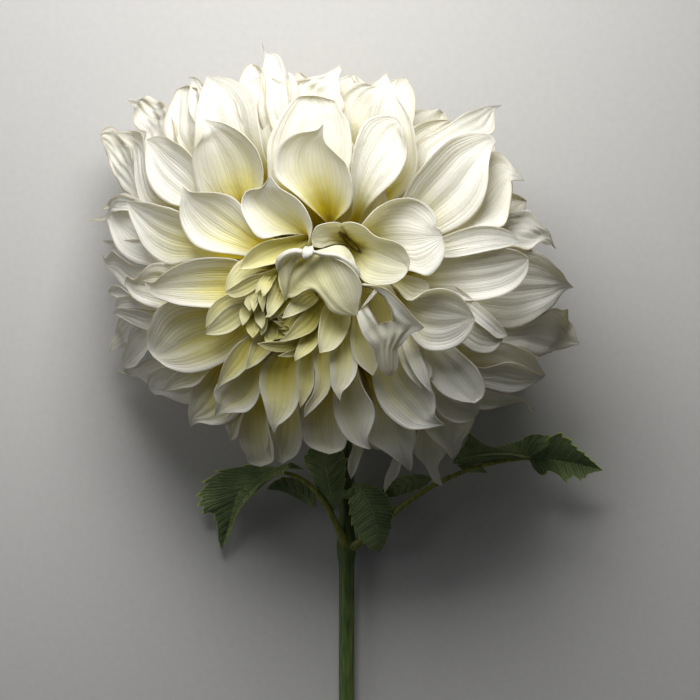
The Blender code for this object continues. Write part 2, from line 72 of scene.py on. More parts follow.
BASE_RADIUS = 0.0285
ROOT_DEPTH = 0.0015
ROOT_REACH = BASE_RADIUS - ROOT_DEPTH
ROOT_HALF = 0.002
ROOT_SHARE = 0.80
PETAL_THICKNESS = 0.0003
PETAL_ROWS = 40
PETAL_COLUMNS = 22
CROWDED_AT_TIP = 1.5
ROW_SHARES = 1 - (1 - np.linspace(0, 1, PETAL_ROWS + 1)) ** CROWDED_AT_TIP
CURVE_STEPS = 240

# Relief of the petals. Depths, heights and jags are shares of a petal's width, and waves are radians
# along it. A pair is the range of a random draw, but the creases' waves are the least and how many more
# a fully creased petal has. Rims roll from a share of the way out from the midrib.
ANY_PHASE = (0, 6.3)
PLEAT_COUNTS = (3.0, 5.5)
PLEAT_DEPTHS = (0.008, 0.016)
PLEAT_SHIFT = (-1, 1)
RIM_WAVES = (7, 13)
RIM_WAVE = 0.045
WAVE_SLANT = 1.5
CREASE_FOLDS = 6
FOLD_MEAN = 0.64
FOLD_HEIGHT = 1.3
CREASE_RUN = (0.3, 1)
CREASE_SLANT = (-0.6, 0.6)
CREASE_WAVES = (9.0, 18.0)
CREASE_DEPTH = 0.12
JAG_WAVES = 45.0
RIM_JAG = 0.17
ROLLED_FROM = 0.70
ROLL_HEIGHT = 0.06
TRACED_ROLLS = (0, 0.5)

# Each petal: one rim from near its base, the tip, the other rim, all to the right and up; then the
# tip's lift above the face, how far the rims' first points lie below that, the cup's share of the
# width, and creasing
OUTER_PETALS = (
    (((1.5, 71), (0.5, 81), (4.5, 86.5), (11, 89), (17.5, 88.5)), (25, 94),
     ((20, 71), (23, 80), (26.5, 88)), -8, 16, 0.10, 0.7),
    (((16.5, 66), (18.5, 76), (22.5, 83.5), (26.5, 88.5)), (30.5, 91),
     ((38.5, 43.5), (39.5, 61), (38, 69), (34.5, 76.5), (30, 82.5), (29, 86.5)), -5, 16, 0.14, 0.5),
    (((-38.5, 61), (-42.5, 81), (-44, 88.5)), (-33.5, 94),
     ((-21.5, 61), (-21.5, 80), (-23.5, 88.5)), -12, 16, 0.12, 0.4),
    (((-46, 73.5), (-46.5, 87.5), (-44.5, 96), (-40.5, 99.5)), (-36.5, 98),
     ((-31.5, 73.5), (-32.5, 87), (-33.5, 93)), -9, 10, 0.30, 0.8),
    (((-36.5, 73.5), (-36, 87.5), (-34.5, 97), (-34, 103.5)), (-35.5, 110.5),
     ((-20.5, 71), (-22, 86), (-24, 97), (-27.5, 104), (-32, 104.5)), -8, 12, 0.16, 1.1),
    (((-19, 71), (-20.5, 80), (-19, 89), (-13, 92), (-6.5, 93), (-1.5, 95)), (2.5, 98),
     ((4, 71), (4.5, 79.5), (3.5, 86.5), (2.5, 91.5), (3.5, 95.5)), -9, 12, 0.12, 1.3),
    (((-21.5, 80), (-21, 88)), (-22.5, 95), ((-17, 82), (-18, 89), (-20, 93.5)), -10, 6, 0.2, 0.6),
    (((-67, 53.5), (-68, 66), (-66.5, 77), (-64.5, 86), (-63, 90.5)), (-62, 94),
     ((-32, 53.5), (-34.5, 66), (-38, 79), (-42.5, 86.5), (-48.5, 91.5), (-55.5, 93)), -5, 20, 0.13, 0.5),
    (((-69.5, 73.5), (-71, 85), (-70, 90)), (-71.5, 95),
     ((-61.5, 78.5), (-62, 88), (-65, 92), (-68, 94)), -8, 10, 0.2, 0.8),
    (((-81, 63.5), (-81.5, 77), (-79, 83.5), (-76, 88.5)), (-71.5, 90),
     ((-64.5, 63.5), (-64, 77), (-65.5, 86)), -9, 14, 0.15, 0.9),
    (((-90, 56), (-94.5, 69.5), (-99, 75.5), (-98, 80), (-100.5, 82)), (-102, 84.5),
     ((-76.5, 61), (-78, 72), (-81.5, 79.5), (-87, 83), (-92.5, 86.5), (-97, 84)), -9, 14, 0.12, 1.4),
    (((-67.5, 29), (-80, 32), (-87.5, 38), (-91.5, 47), (-92, 56)), (-91.5, 63.5),
     ((-60, 41), (-67.5, 55), (-72.5, 60), (-78.5, 63.5), (-85, 65)), -4, 18, 0.15, 0.4),
    (((-90, 28.5), (-99, 36), (-106, 42.5), (-111, 52.5), (-113.5, 61)), (-115.5, 65),
     ((-92.5, 38.5), (-97, 48.5), (-99.5, 57.5), (-104, 64.5), (-109.5, 69.5), (-114, 70)),
     -10, 14, 0.1, 1.1),
    (((-91.5, 28.5), (-97, 41), (-98.5, 51), (-101, 60), (-105.5, 65.5)), (-108, 68),
     ((-85, 38.5), (-91, 51), (-92, 61), (-94, 67), (-101, 69)), -7, 14, 0.14, 0.8),
    (((38.5, 52), (39.5, 60.5), (48.5, 65.5), (57.5, 71), (66, 76.5), (74.5, 79)), (81, 80),
     ((45, 38.5), (56, 53.5), (67.5, 62), (76, 64.5), (77.5, 71), (77.5, 76.5)), -8, 18, 0.14, 0.8),
    (((60, 33.5), (68.5, 50), (75, 56), (80.5, 55), (86, 49.5)), (91.5, 42.5),
     ((52.5, 14.5), (71.5, 18), (81.5, 20.5), (84.5, 28.5), (85, 37.5), (84.5, 42)), -7, 20, 0.12, 0.7),
    (((72.5, 20), (83.5, 27.5), (92.5, 28), (98, 23), (103, 18.5)), (107, 10),
     ((72.5, 7), (86.5, 10), (95, 10), (99, 12), (102.5, 12.5)), -11, 12, 0.12, 1.5),
    (((65, 5), (81.5, 11), (93.5, 9.5), (102.5, 5.5), (108.5, 0), (113, -5.5)), (116.5, -8.5),
     ((65, -23), (84, -29), (97.5, -24), (105, -18.5), (109.5, -12.5), (112.5, -10)), -7, 20, 0.13, 0.5),
    (((77.5, -26.5), (96.5, -23.5), (106.5, -17.5), (112.5, -20), (115.5, -25.5), (117, -31)), (120, -36.5),
     ((72.5, -38), (89, -37.5), (96.5, -40), (102.5, -41.5), (109, -39), (115.5, -37)), -9, 14, 0.12, 1.2),
    (((65, -38), (80, -34.5), (89, -37), (96, -41), (99.5, -47)), (102.5, -51),
     ((60, -53), (72.5, -57), (85, -60), (94, -57.5), (100, -53.5)), -6, 18, 0.12, 0.6),
    (((65, -54), (77.5, -58.5), (87.5, -61), (94.5, -64), (97.5, -67.5)), (98, -72.5),
     ((60, -64), (72.5, -68), (82.5, -66), (90.5, -64.5), (95, -68.5)), -8, 12, 0.15, 1.1),
    (((41.5, -50), (48, -62.5), (50.5, -70), (56.5, -74), (63.5, -74)), (69.5, -69.5),
     ((57.5, -51.5), (66, -59), (69.5, -65)), -5, 14, 0.12, 0.5),
    (((46.5, -64), (43, -77), (48.5, -83), (53.5, -88)), (57, -92),
     ((67.5, -64), (68.5, -71.5), (66, -77.5), (62.5, -82.5), (60.5, -88)), -9, 14, 0.14, 0.7),
    (((40, -74), (38, -88), (44, -95.5), (48, -103)), (53, -106),
     ((52.5, -76.5), (54.5, -88.5), (50.5, -94.5), (51.5, -100.5)), -12, 12, 0.14, 0.8),
    (((18.5, -65), (16.5, -76.5), (16, -82.5), (22.5, -87), (30, -92.5)), (37, -98),
     ((32.5, -66.5), (38.5, -76), (40, -82.5), (38, -88.5), (38, -94)), -6, 14, 0.12, 0.5),
    (((29.5, -84), (28, -93), (25, -100.5), (24, -105.5)), (24.5, -109),
     ((35, -84), (32.5, -94), (31, -100), (27.5, -104)), -12, 8, 0.2, 0.8),
    (((9, -84), (7, -91.5), (6.5, -97)), (8, -102), ((14.5, -84), (12.5, -92.5), (10.5, -97.5)),
     -12, 8, 0.2, 0.6),
    (((-11.5, -56.5), (-16, -66.5), (-16, -78), (-12.5, -85.5)), (-2.5, -89.5),
     ((3.5, -56.5), (6, -69), (6.5, -79), (4.5, -87)), -8, 14, 0.14, 0.4),
    (((-38.5, -59), (-44.5, -70), (-47, -80), (-44, -89), (-41.5, -94.5)), (-36, -96),
     ((-31.5, -61.5), (-31, -76.5), (-29.5, -85.5), (-30, -93)), -8, 14, 0.14, 0.4),
    (((-30.5, -64), (-32.5, -79), (-32.5, -89)), (-25.5, -94.5),
     ((-16.5, -64), (-15.5, -79), (-18, -89)), -10, 12, 0.14, 0.4),
    (((-47.5, -65), (-53, -75.5), (-51.5, -80)), (-51, -83.5),
     ((-41.5, -65), (-44.5, -72), (-47, -81)), -8, 10, 0.2, 0.9),
    (((-60.5, -45), (-69, -57), (-71, -65), (-71.5, -71)), (-70.5, -76.5),
     ((-43.5, -51.5), (-44, -65), (-50.5, -73.5), (-59.5, -75.5), (-66, -74.5)), -5, 16, 0.12, 0.6),
    (((-72.5, -45), (-82.5, -47.5), (-90, -49.5), (-92, -54)), (-91, -58.5),
     ((-60, -55), (-69, -65), (-75.5, -65), (-83, -62), (-88.5, -60.5)), -7, 14, 0.12, 0.7),
    (((-81.5, -39), (-90, -43), (-97.5, -47), (-103.5, -48.5)), (-108, -49),
     ((-75, -50), (-84.5, -56), (-91, -56.5), (-96, -52.5), (-102.5, -52)), -8, 12, 0.15, 0.8),
    (((-91.5, -25), (-96.5, -29.5), (-101.5, -34.5), (-104, -40), (-105.5, -45)), (-104, -48),
     ((-81.5, -31.5), (-89, -36.5), (-92.5, -42.5), (-97.5, -47)), -6, 12, 0.15, 0.6),
    (((-97.5, -20), (-106, -23.5), (-108.5, -29.5), (-111, -35.5)), (-112, -40),
     ((-90, -25), (-99, -29.5), (-101.5, -34.5), (-106, -38)), -9, 10, 0.08, 1.2),
    (((-80, -23), (-90, -20.5), (-98.5, -19), (-105.5, -18.5)), (-109, -21),
     ((-78.5, -32), (-91.5, -29.5), (-98.5, -26.5), (-105, -23)), -6, 12, 0.15, 0.7),
    (((-85, -13), (-96.5, -12.5), (-103.5, -12.5), (-107, -14.5)), (-107.5, -18.5),
     ((-85, -20), (-95, -19), (-102, -18.5)), -8, 10, 0.15, 0.6),
    (((-92.5, -15.5), (-100, -11.5), (-104.5, -8), (-109, -7.5)), (-112, -10.5),
     ((-92.5, -19.5), (-101.5, -15), (-108, -13)), -10, 8, 0.25, 0.6),
    (((-72.5, -24), (-84, -19.5), (-93, -16.5), (-99, -12), (-102.5, -7)), (-101, -3),
     ((-72.5, -3), (-81.5, 2), (-87.5, 2.5), (-92.5, -1), (-97, -4.5)), -4, 16, 0.12, 0.6),
    (((-85, -15.5), (-96.5, -13), (-103.5, -8), (-109, -2), (-113.5, 3.5)), (-115, 8.5),
     ((-85, 0), (-96.5, 2), (-104, 6.5), (-108, 10), (-110.5, 8), (-112.5, 6)), -8, 14, 0.14, 0.7),
    (((-92.5, 5), (-105.5, 10), (-111.5, 11.5)), (-115, 15),
     ((-92.5, 14.5), (-106.5, 14.5), (-111, 15)), -12, 8, 0.2, 0.5),
    (((-78.5, 0), (-90, 2), (-98.5, 4), (-105, 9), (-108.5, 16), (-111, 23), (-114, 24.5)), (-121, 25),
     ((-80, 23.5), (-90, 32), (-98.5, 36), (-105, 37), (-109.5, 34), (-113.5, 27)), -6, 16, 0.13, 0.7),
    (((-100, 28.5), (-107.5, 28.5), (-112, 30.5)), (-115, 30),
     ((-97.5, 34.5), (-104.5, 37), (-108, 36), (-112, 33.5)), -5, 8, 0.2, 1.0),
)


def unit(vectors):
    """The vectors at length 1."""
    return vectors / np.maximum(np.linalg.norm(vectors, axis=-1, keepdims=True), 1e-12)


def on_sphere(polar, around):
    """Unit direction at this angle from the bloom's facing and this angle round it."""
    return (
        math.sin(polar) * (math.cos(around) * ACROSS + math.sin(around) * ALONG)
        + math.cos(polar) * FACING
    )


def front_height(x, y, along, across):
    """Height over (x, y) of the front of an ellipsoid that points the way the bloom faces: the upper
    root of the quadratic that its equation makes there, or that of its outline outside it."""
    crosswise = 1 / across**2
    difference = 1 / along**2 - crosswise
    lean = FACING[0] * x + FACING[1] * y
    square = crosswise + difference * FACING[2] ** 2
    linear = 2 * difference * lean * FACING[2]
    constant = crosswise * (x * x + y * y) + difference * lean**2 - 1
    return (-linear + math.sqrt(max(linear**2 - 4 * square * constant, 0.0))) / (2 * square)


def on_face(x, y, lift):
    """The point at these millimetres to the right and up whose height is the lift above the face."""
    return np.array([x * MM, y * MM, front_height(x * MM, y * MM, BLOOM_FRONT, BLOOM_SIDE) + lift * MM])


def radial_root(tip):
    """Root for a tip: on the base, nearer the face than the tip, on the same line round it."""
    polar = math.acos(unit(tip) @ FACING)
    around = math.atan2(tip @ ALONG, tip @ ACROSS)
    return ROOT_REACH * on_sphere(polar * ROOT_SHARE, around)


def smooth_curve(points, shares):
    """Points at these shares of the length of a cubic Hermite curve through the given points. Its knots
    lie apart by the root of each chord, and its slope at a knot is the mean of the slopes of the two
    chords, the shorter one weighing more."""
    steps = np.sqrt(np.linalg.norm(np.diff(points, axis=0), axis=-1))
    knots = np.concatenate([[0], np.cumsum(steps)])
    chords = np.diff(points, axis=0) / steps[:, None]
    before, after = steps[:-1, None], steps[1:, None]
    slopes = (chords[:-1] * after + chords[1:] * before) / (before + after)
    slopes = np.concatenate([chords[:1], slopes, chords[-1:]])
    reached = np.linspace(0, knots[-1], CURVE_STEPS)
    span = np.clip(np.searchsorted(knots, reached, "right") - 1, 0, len(steps) - 1)
    part = ((reached - knots[span]) / steps[span])[:, None]
    left = 1 - part
    curve = points[span] * (1 + 2 * part) * left**2 + points[span + 1] * part**2 * (3 - 2 * part)
    sway = slopes[span] * part * left**2 - slopes[span + 1] * part**2 * left
    curve = curve + steps[span][:, None] * sway
    lengths = np.concatenate([[0], np.cumsum(np.linalg.norm(np.diff(curve, axis=0), axis=-1))])
    return np.stack([np.interp(lengths[-1] * shares, lengths, column) for column in curve.T], -1)


def creases(along, across, rng, waves):
    """Sharp creases about one high: the sum of a few folded sine waves, each less its mean, that cross
    the petal at random."""
    total = 0.0
    for _ in range(CREASE_FOLDS):
        run = rng.uniform(*CREASE_RUN) * waves * along
        phase = run + rng.uniform(*CREASE_SLANT) * waves * across + rng.uniform(*ANY_PHASE)
        total = total + FOLD_HEIGHT * (FOLD_MEAN - abs(np.sin(phase / 2)))
    return total / math.sqrt(CREASE_FOLDS)


def rolled_share(across):
    """How much of a rim's roll each place across a petal takes: none inside, all at the rims."""
    return np.clip((abs(across) - ROLLED_FROM) / (1 - ROLLED_FROM), 0, 1) ** 2


def petal_sheet(first, midrib, second, rolls, crease, rng, fold=0.0):
    """Grid of a petal through three curves: each row across it is the parabola through the two rims and
    the midrib, or straight on either side of a midrib folded sharply. Pleats that fade at the ends,
    waves of the rims, their roll and creases go along the normal, which is the cross product of the
    grid's two slopes. Creased rims also jag sideways."""
    across = np.linspace(-1, 1, PETAL_COLUMNS + 1)[None, :]
    along = np.linspace(0, 1, PETAL_ROWS + 1)[:, None]
    first, midrib, second = first[:, None], midrib[:, None], second[:, None]
    bend = across[..., None]
    surface = first * bend * (bend - 1) / 2 + midrib * (1 - bend**2) + second * bend * (bend + 1) / 2
    halves = np.where(bend < 0, first, second) * abs(bend) + midrib * (1 - abs(bend))
    surface = surface * (1 - fold) + halves * fold
    normal = unit(np.cross(np.gradient(surface, axis=1), np.gradient(surface, axis=0)))
    normal = normal * np.sign((normal @ FACING).sum())
    width = np.linalg.norm(second - first, axis=-1)
    inside = np.sin(math.pi * along) ** 0.7
    pleats = np.cos(math.pi * rng.uniform(*PLEAT_COUNTS) * across + rng.uniform(*PLEAT_SHIFT))
    waves = np.sin(rng.uniform(*RIM_WAVES) * along + rng.uniform(*ANY_PHASE) + WAVE_SLANT * across)
    up = rng.uniform(*PLEAT_DEPTHS) * pleats * inside * (1 - across**4)
    up = up + RIM_WAVE * abs(across) ** 2.5 * waves * inside
    up = up + ROLL_HEIGHT * np.where(across < 0, rolls[0], rolls[1]) * rolled_share(across) * inside
    least, more = CREASE_WAVES
    creased = CREASE_DEPTH * crease**1.5 * creases(along, across, rng, least + more * crease)
    up = up + creased * along**2 * (1 - along**12)
    jag = RIM_JAG * crease**1.5 * creases(along, np.sign(across), rng, JAG_WAVES)
    jag = jag * along**2 * across * abs(across) ** 3
    return surface + (width * up)[..., None] * normal + jag[..., None] * (second - first)


def traced_petal(first, tip, second, lift, sink, cup, crease, rng):
    """Grid of a petal from its outline as seen from the front. The height of a rim's point is that of
    the face plus the tip's lift, less the sink times the squared share of the way back from the tip.
    The midrib lies below the mean of the rims by the cup's share of the width."""
    end = on_face(*tip, lift)
    start = radial_root(end)
    side = ROOT_HALF * unit(on_face(*second[0], lift) - on_face(*first[0], lift))
    rims = []
    for points, root in ((first, start - side), (second, start + side)):
        back = np.linalg.norm(np.subtract(points, tip), axis=1)
        lifts = lift - sink * (back / back[0]) ** 2
        points = [on_face(x, y, height) for (x, y), height in zip(points, lifts)]
        rims.append(smooth_curve(np.array([root, *points, end]), ROW_SHARES))
    mean = (rims[0] + rims[1]) / 2
    across = rims[1] - rims[0]
    below = unit(np.cross(across, np.gradient(mean, axis=0)))
    below = -below * np.sign((below @ FACING).sum())
    midrib = mean + cup * np.linalg.norm(across, axis=1, keepdims=True) * below
    return petal_sheet(rims[0], midrib, rims[1], rng.uniform(*TRACED_ROLLS, 2), crease, rng)


def traced_petals(rows, seed):
    """Grids of traced petals in their place, and how dry each is."""
    rng = np.random.default_rng(seed)
    return [traced_petal(*row, rng) + BLOOM_CENTRE for row in rows], [min(row[-1], 1.0) for row in rows]


def sheet_faces(rows, columns):
    """Faces of a grid whose last row is a single point: its quads and the triangles that meet there."""
    grid = np.arange(rows * (columns + 1)).reshape(rows, columns + 1)
    quads = np.stack([grid[:-1, :-1], grid[:-1, 1:], grid[1:, 1:], grid[1:, :-1]], -1).reshape(-1, 4)
    tip = np.full(columns, grid.size)
    return quads, np.stack([grid[-1, :-1], grid[-1, 1:], tip], -1)


def scene_object(name, data):
    """A new object in the scene from a mesh, a light or a camera."""
    made = bpy.data.objects.new(name, data)
    bpy.context.scene.collection.objects.link(made)
    return made


def mesh_object(name, points, faces, material):
    """A smooth object in the scene from its points, faces and material."""
    mesh = bpy.data.meshes.new(name)
    mesh.from_pydata(points.tolist(), [], faces)
    mesh.shade_smooth()
    mesh.materials.append(material)
    return scene_object(name, mesh)


def map_blade(mesh, places):
    """The UV map that the materials read, from a place for each of the mesh's points."""
    corners = np.empty(len(mesh.loops), int)
    mesh.loops.foreach_get("vertex_index", corners)
    mesh.uv_layers.new(name="blade").data.foreach_set("uv", places[corners].ravel())


def sheets_object(name, surfaces, dryness, thickness, material):
    """One object of many thin blades, each from its grid of points. The UV map runs across and along
    each blade, and two attributes hold each blade's own shade and how dry it is."""
    rows, columns = surfaces[0].shape[0] - 1, surfaces[0].shape[1] - 1
    per_blade = rows * (columns + 1) + 1
    quads, ends = sheet_faces(rows, columns)
    faces = []
    for start in range(0, per_blade * len(surfaces), per_blade):
        faces += (quads + start).tolist() + (ends + start).tolist()
    points = [np.concatenate([surface[:-1].reshape(-1, 3), surface[-1:, 0]]) for surface in surfaces]
    made = mesh_object(name, np.concatenate(points), faces, material)
    across, along = np.meshgrid(np.linspace(0, 1, columns + 1), np.linspace(0, 1, rows + 1))
    places = np.stack([across, along], -1)
    places = np.concatenate([places[:-1].reshape(-1, 2), [[0.5, 1.0]]])
    map_blade(made.data, np.tile(places, (len(surfaces), 1)))
    shades = np.random.default_rng(3).uniform(0, 1, len(surfaces))
    for label, values in (("shade", shades), ("dry", dryness)):
        spread = np.repeat(np.asarray(values, np.float32), per_blade)
        made.data.attributes.new(label, "FLOAT", "POINT").data.foreach_set("value", spread)
    thick = made.modifiers.new("thick", "SOLIDIFY")
    thick.thickness = thickness
    thick.offset = 0.0
    return made


def feed(tree, socket, value):
    """Links an input from a socket, or gives it a value."""
    if isinstance(value, bpy.types.NodeSocket):
        tree.links.new(value, socket)
    else:
        socket.default_value = value


def add_node(tree, kind, inputs=None, **settings):
    """A node with these settings and these inputs by name."""
    made = tree.nodes.new(kind)
    for name, value in settings.items():
        setattr(made, name, value)
    for name, value in (inputs or {}).items():
        feed(tree, made.inputs[name], value)
    return made


def add_ramp(tree, factor, stops):
    """A colour ramp through (position, colour) stops."""
    made = add_node(tree, "ShaderNodeValToRGB", {"Fac": factor})
    elements = made.color_ramp.elements
    while len(elements) < len(stops):
        elements.new(1.0)
    for element, (position, color) in zip(elements, stops):
        element.position = position
        element.color = (*color, 1.0)
    return made.outputs["Color"]


def calculated(tree, operation, *values, clamp=False):
    """Result of one Math node."""
    made = add_node(tree, "ShaderNodeMath", operation=operation, use_clamp=clamp)
    for socket, value in zip(made.inputs, values):
        feed(tree, socket, value)
    return made.outputs[0]


def mixed(tree, factor, color, tint, blend="MIX"):
    """The colour mixed with a tint by a factor."""
    made = add_node(tree, "ShaderNodeMix", {"Factor": factor}, data_type="RGBA", blend_type=blend)
    for name, value in (("A", color), ("B", (*tint, 1.0))):
        feed(tree, next(end for end in made.inputs if end.name == name and end.type == "RGBA"), value)
    return next(end for end in made.outputs if end.type == "RGBA")


def tinted(tree, color, amount, strength, tint, blend="MIX"):
    """The colour mixed with a tint by an amount times a strength."""
    return mixed(tree, calculated(tree, "MULTIPLY", amount, strength), color, tint, blend)


def noise(tree, place, scale, detail):
    """Smooth random values about a half."""
    inputs = {"Vector": place, "Scale": scale, "Detail": detail}
    return add_node(tree, "ShaderNodeTexNoise", inputs).outputs["Fac"]


def raised(tree, height, strength, distance):
    """Normal of a skin that a height raises."""
    inputs = {"Height": height, "Strength": strength, "Distance": distance}
    return add_node(tree, "ShaderNodeBump", inputs).outputs[0]


def object_place(tree):
    """The place in the object's own metres."""
    return add_node(tree, "ShaderNodeTexCoord").outputs["Object"]


def blade_place(tree):
    """The two values of the UV map."""
    place = add_node(tree, "ShaderNodeUVMap", uv_map="blade").outputs[0]
    where = add_node(tree, "ShaderNodeSeparateXYZ", {"Vector": place})
    return where.outputs["X"], where.outputs["Y"]


def attribute(tree, name):
    """A value that the mesh holds for each point."""
    return add_node(tree, "ShaderNodeAttribute", attribute_name=name).outputs["Fac"]


def new_group(name, inputs, outputs):
    """An empty shader node group with these float inputs and outputs, and its two end nodes."""
    tree = bpy.data.node_groups.new(name, "ShaderNodeTree")
    for label in inputs:
        tree.interface.new_socket(label, in_out="INPUT", socket_type="NodeSocketFloat")
    for label in outputs:
        tree.interface.new_socket(label, in_out="OUTPUT", socket_type="NodeSocketFloat")
    return tree, add_node(tree, "NodeGroupInput"), add_node(tree, "NodeGroupOutput")


def new_material(name):
    """A new material, its node tree and its main shader."""
    made = bpy.data.materials.new(name)
    made.use_nodes = True
    return made, made.node_tree, made.node_tree.nodes["Principled BSDF"]


# Streaks: how often they change along a petal, how many broad ones there are for a fine one, how far
# each petal's pattern is moved from the next one's, and how far the ribs wander
STREAKS_ALONG = 2.2
STREAKS_BROADER = 0.22
STREAKS_MOVED = 37.0
RIBS_WANDER = 5.0


def streaks_group():
    """Lengthwise streaks, fine and broad: noise drawn out along the blade, its place moved for each
    blade. The ribs are the size of a sine wave across the blade, pushed aside by the broad streaks."""
    tree, given, result = new_group(
        "streaks", ("Across", "Along", "Shade", "Count"), ("Fine", "Broad", "Ribs")
    )
    for label, finer in (("Fine", 1.0), ("Broad", STREAKS_BROADER)):
        count = calculated(tree, "MULTIPLY", given.outputs["Count"], finer)
        where = add_node(tree, "ShaderNodeCombineXYZ", {
            "X": calculated(tree, "MULTIPLY", given.outputs["Across"], count),
            "Y": calculated(tree, "MULTIPLY", given.outputs["Along"], STREAKS_ALONG),
            "Z": calculated(tree, "MULTIPLY", given.outputs["Shade"], STREAKS_MOVED),
        })
        streak = noise(tree, where.outputs[0], 1.0, 3.0)
        feed(tree, result.inputs[label], streak)
    turns = calculated(tree, "MULTIPLY", given.outputs["Across"], given.outputs["Count"])
    turns = calculated(tree, "MULTIPLY_ADD", streak, RIBS_WANDER, turns)
    feed(tree, result.inputs["Ribs"], calculated(tree, "ABSOLUTE", calculated(tree, "SINE", turns)))
    return tree


streaks = streaks_group()
STREAK_COUNT = 56.0

# Colours of a petal: where it is youngest, the metres from there to the ramp's end, and how far streaks
# and each petal's own shade shift it. Each browning has its strength and its colour; the brown of a
# torn edge is also painted shade round the throat's slit.
YOUNGEST = BLOOM_CENTRE + np.array([-2, -7, 0]) * MM
RAMP_REACH = 0.13
STREAKS_SHIFT = 0.10
SHADE_SHIFT = 0.06
VEIN_TINT = (0.66, 0.64, 0.54)
VEIN_STRENGTH = 0.3
DRY_RIM = (0.9, (0.55, 0.38, 0.12))
DRY_TIP = (0.7, (0.52, 0.40, 0.18))
TORN_BROWN_AND_SLIT_SHADE = (0.85, (0.20, 0.13, 0.04))
CRUMPLE_SCALE = 160.0
SKIN_HEIGHT = 0.0006
THROUGH = 0.40
THROUGH_TINT = (1.0, 0.95, 0.66)


def aged_color(tree, place, broad, shade, off_middle, stops, paling):
    """Colour by the distance from the youngest part, in shares of the ramp's reach. The broad streaks
    and the petal's own shade move it to and fro, and it is further on towards the rims."""
    apart = add_node(tree, "ShaderNodeVectorMath", operation="DISTANCE")
    feed(tree, apart.inputs[0], place)
    feed(tree, apart.inputs[1], YOUNGEST.tolist())
    outward = calculated(tree, "DIVIDE", apart.outputs["Value"], RAMP_REACH)
    for value, shift in ((broad, STREAKS_SHIFT), (shade, SHADE_SHIFT)):
        outward = calculated(tree, "SUBTRACT", outward, shift / 2)
        outward = calculated(tree, "MULTIPLY_ADD", value, shift, outward)
    paler = calculated(tree, "MULTIPLY", calculated(tree, "POWER", off_middle, 4.0), paling)
    return add_ramp(tree, calculated(tree, "ADD", outward, paler), stops)


def browned_and_shaded_color(tree, color, along, broad, off_middle):
    """The colour browned in patches along the rim and at the tip of a dry petal and round a hole, and
    painted dark round the throat's slit, with the same brown, as shade.
    """
    dry = attribute(tree, "dry")
    patchy = calculated(tree, "MULTIPLY_ADD", broad, 4.0, -1.5, clamp=True)
    at_rim = calculated(tree, "POWER", off_middle, 18.0)
    at_tip = calculated(tree, "POWER", along, 10.0)
    for share, (strength, tint) in ((at_rim, DRY_RIM), (at_tip, DRY_TIP)):
        browned = calculated(tree, "MULTIPLY", calculated(tree, "MULTIPLY", share, patchy), dry)
        color = tinted(tree, color, browned, strength, tint)
    return tinted(tree, color, attribute(tree, "brown_tear_and_slit_shade"), *TORN_BROWN_AND_SLIT_SHADE)


def petal_material(name, stops, paling=0.10, relief=0.55):
    """Petal skin whose colour runs through the stops from the bloom's middle outwards. It is streaked
    and ribbed lengthwise, crumpled, browned where it has dried, painted dark round the throat's slit as
    shade, and lets some of the light through, which comes out yellower."""
    made, tree, skin = new_material(name)
    place = object_place(tree)
    across, along = blade_place(tree)
    shade = attribute(tree, "shade")
    lines = add_node(tree, "ShaderNodeGroup", {
        "Across": across, "Along": along, "Shade": shade, "Count": STREAK_COUNT,
    }, node_tree=streaks)
    fine, broad = lines.outputs["Fine"], lines.outputs["Broad"]
    ribs = calculated(tree, "POWER", lines.outputs["Ribs"], 0.6)
    off_middle = calculated(tree, "ABSOLUTE", calculated(tree, "MULTIPLY_ADD", across, 2.0, -1.0))
    color = aged_color(tree, place, broad, shade, off_middle, stops, paling)
    vein = calculated(tree, "SUBTRACT", calculated(tree, "MULTIPLY_ADD", fine, 1.2, 0.3), ribs, clamp=True)
    color = tinted(tree, color, vein, VEIN_STRENGTH, VEIN_TINT, "MULTIPLY")
    color = browned_and_shaded_color(tree, color, along, broad, off_middle)
    height = calculated(tree, "MULTIPLY_ADD", ribs, 0.30, fine)
    height = calculated(tree, "MULTIPLY_ADD", noise(tree, place, CRUMPLE_SCALE, 5.0), 1.6, height)
    normal = raised(tree, height, relief, SKIN_HEIGHT)
    feed(tree, skin.inputs["Base Color"], color)
    feed(tree, skin.inputs["Roughness"], calculated(tree, "MULTIPLY_ADD", fine, 0.2, 0.42))
    feed(tree, skin.inputs["Normal"], normal)
    feed(tree, skin.inputs["Sheen Weight"], 0.15)
    feed(tree, skin.inputs["Sheen Roughness"], 0.4)
    warmer = mixed(tree, 1.0, color, THROUGH_TINT, "MULTIPLY")
    glow = add_node(tree, "ShaderNodeBsdfTranslucent", {"Color": warmer, "Normal": normal})
    both = add_node(tree, "ShaderNodeMixShader", {"Fac": THROUGH})
    feed(tree, both.inputs[1], skin.outputs[0])
    feed(tree, both.inputs[2], glow.outputs[0])
    feed(tree, tree.nodes["Material Output"].inputs["Surface"], both.outputs[0])
    return made


petal_white = petal_material("petal_white", (
    (0.22, (0.46, 0.40, 0.01)),
    (0.42, (0.74, 0.59, 0.01)),
    (0.53, (0.87, 0.75, 0.04)),
    (0.60, (0.93, 0.89, 0.42)),
    (0.66, (0.94, 0.93, 0.76)),
    (0.74, (0.96, 0.96, 0.95)),
))

outer_petals = sheets_object(
    "outer_petals", *traced_petals(OUTER_PETALS, seed=11), PETAL_THICKNESS, petal_white
)
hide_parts("bloom")
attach(outer_petals, "root")

# Middle petals
# The broad, fresh petals in the layers between the outline and the middle of the face. They are held
# like the outer ones, overlap like roof tiles and are cupped, so their rims catch the light.

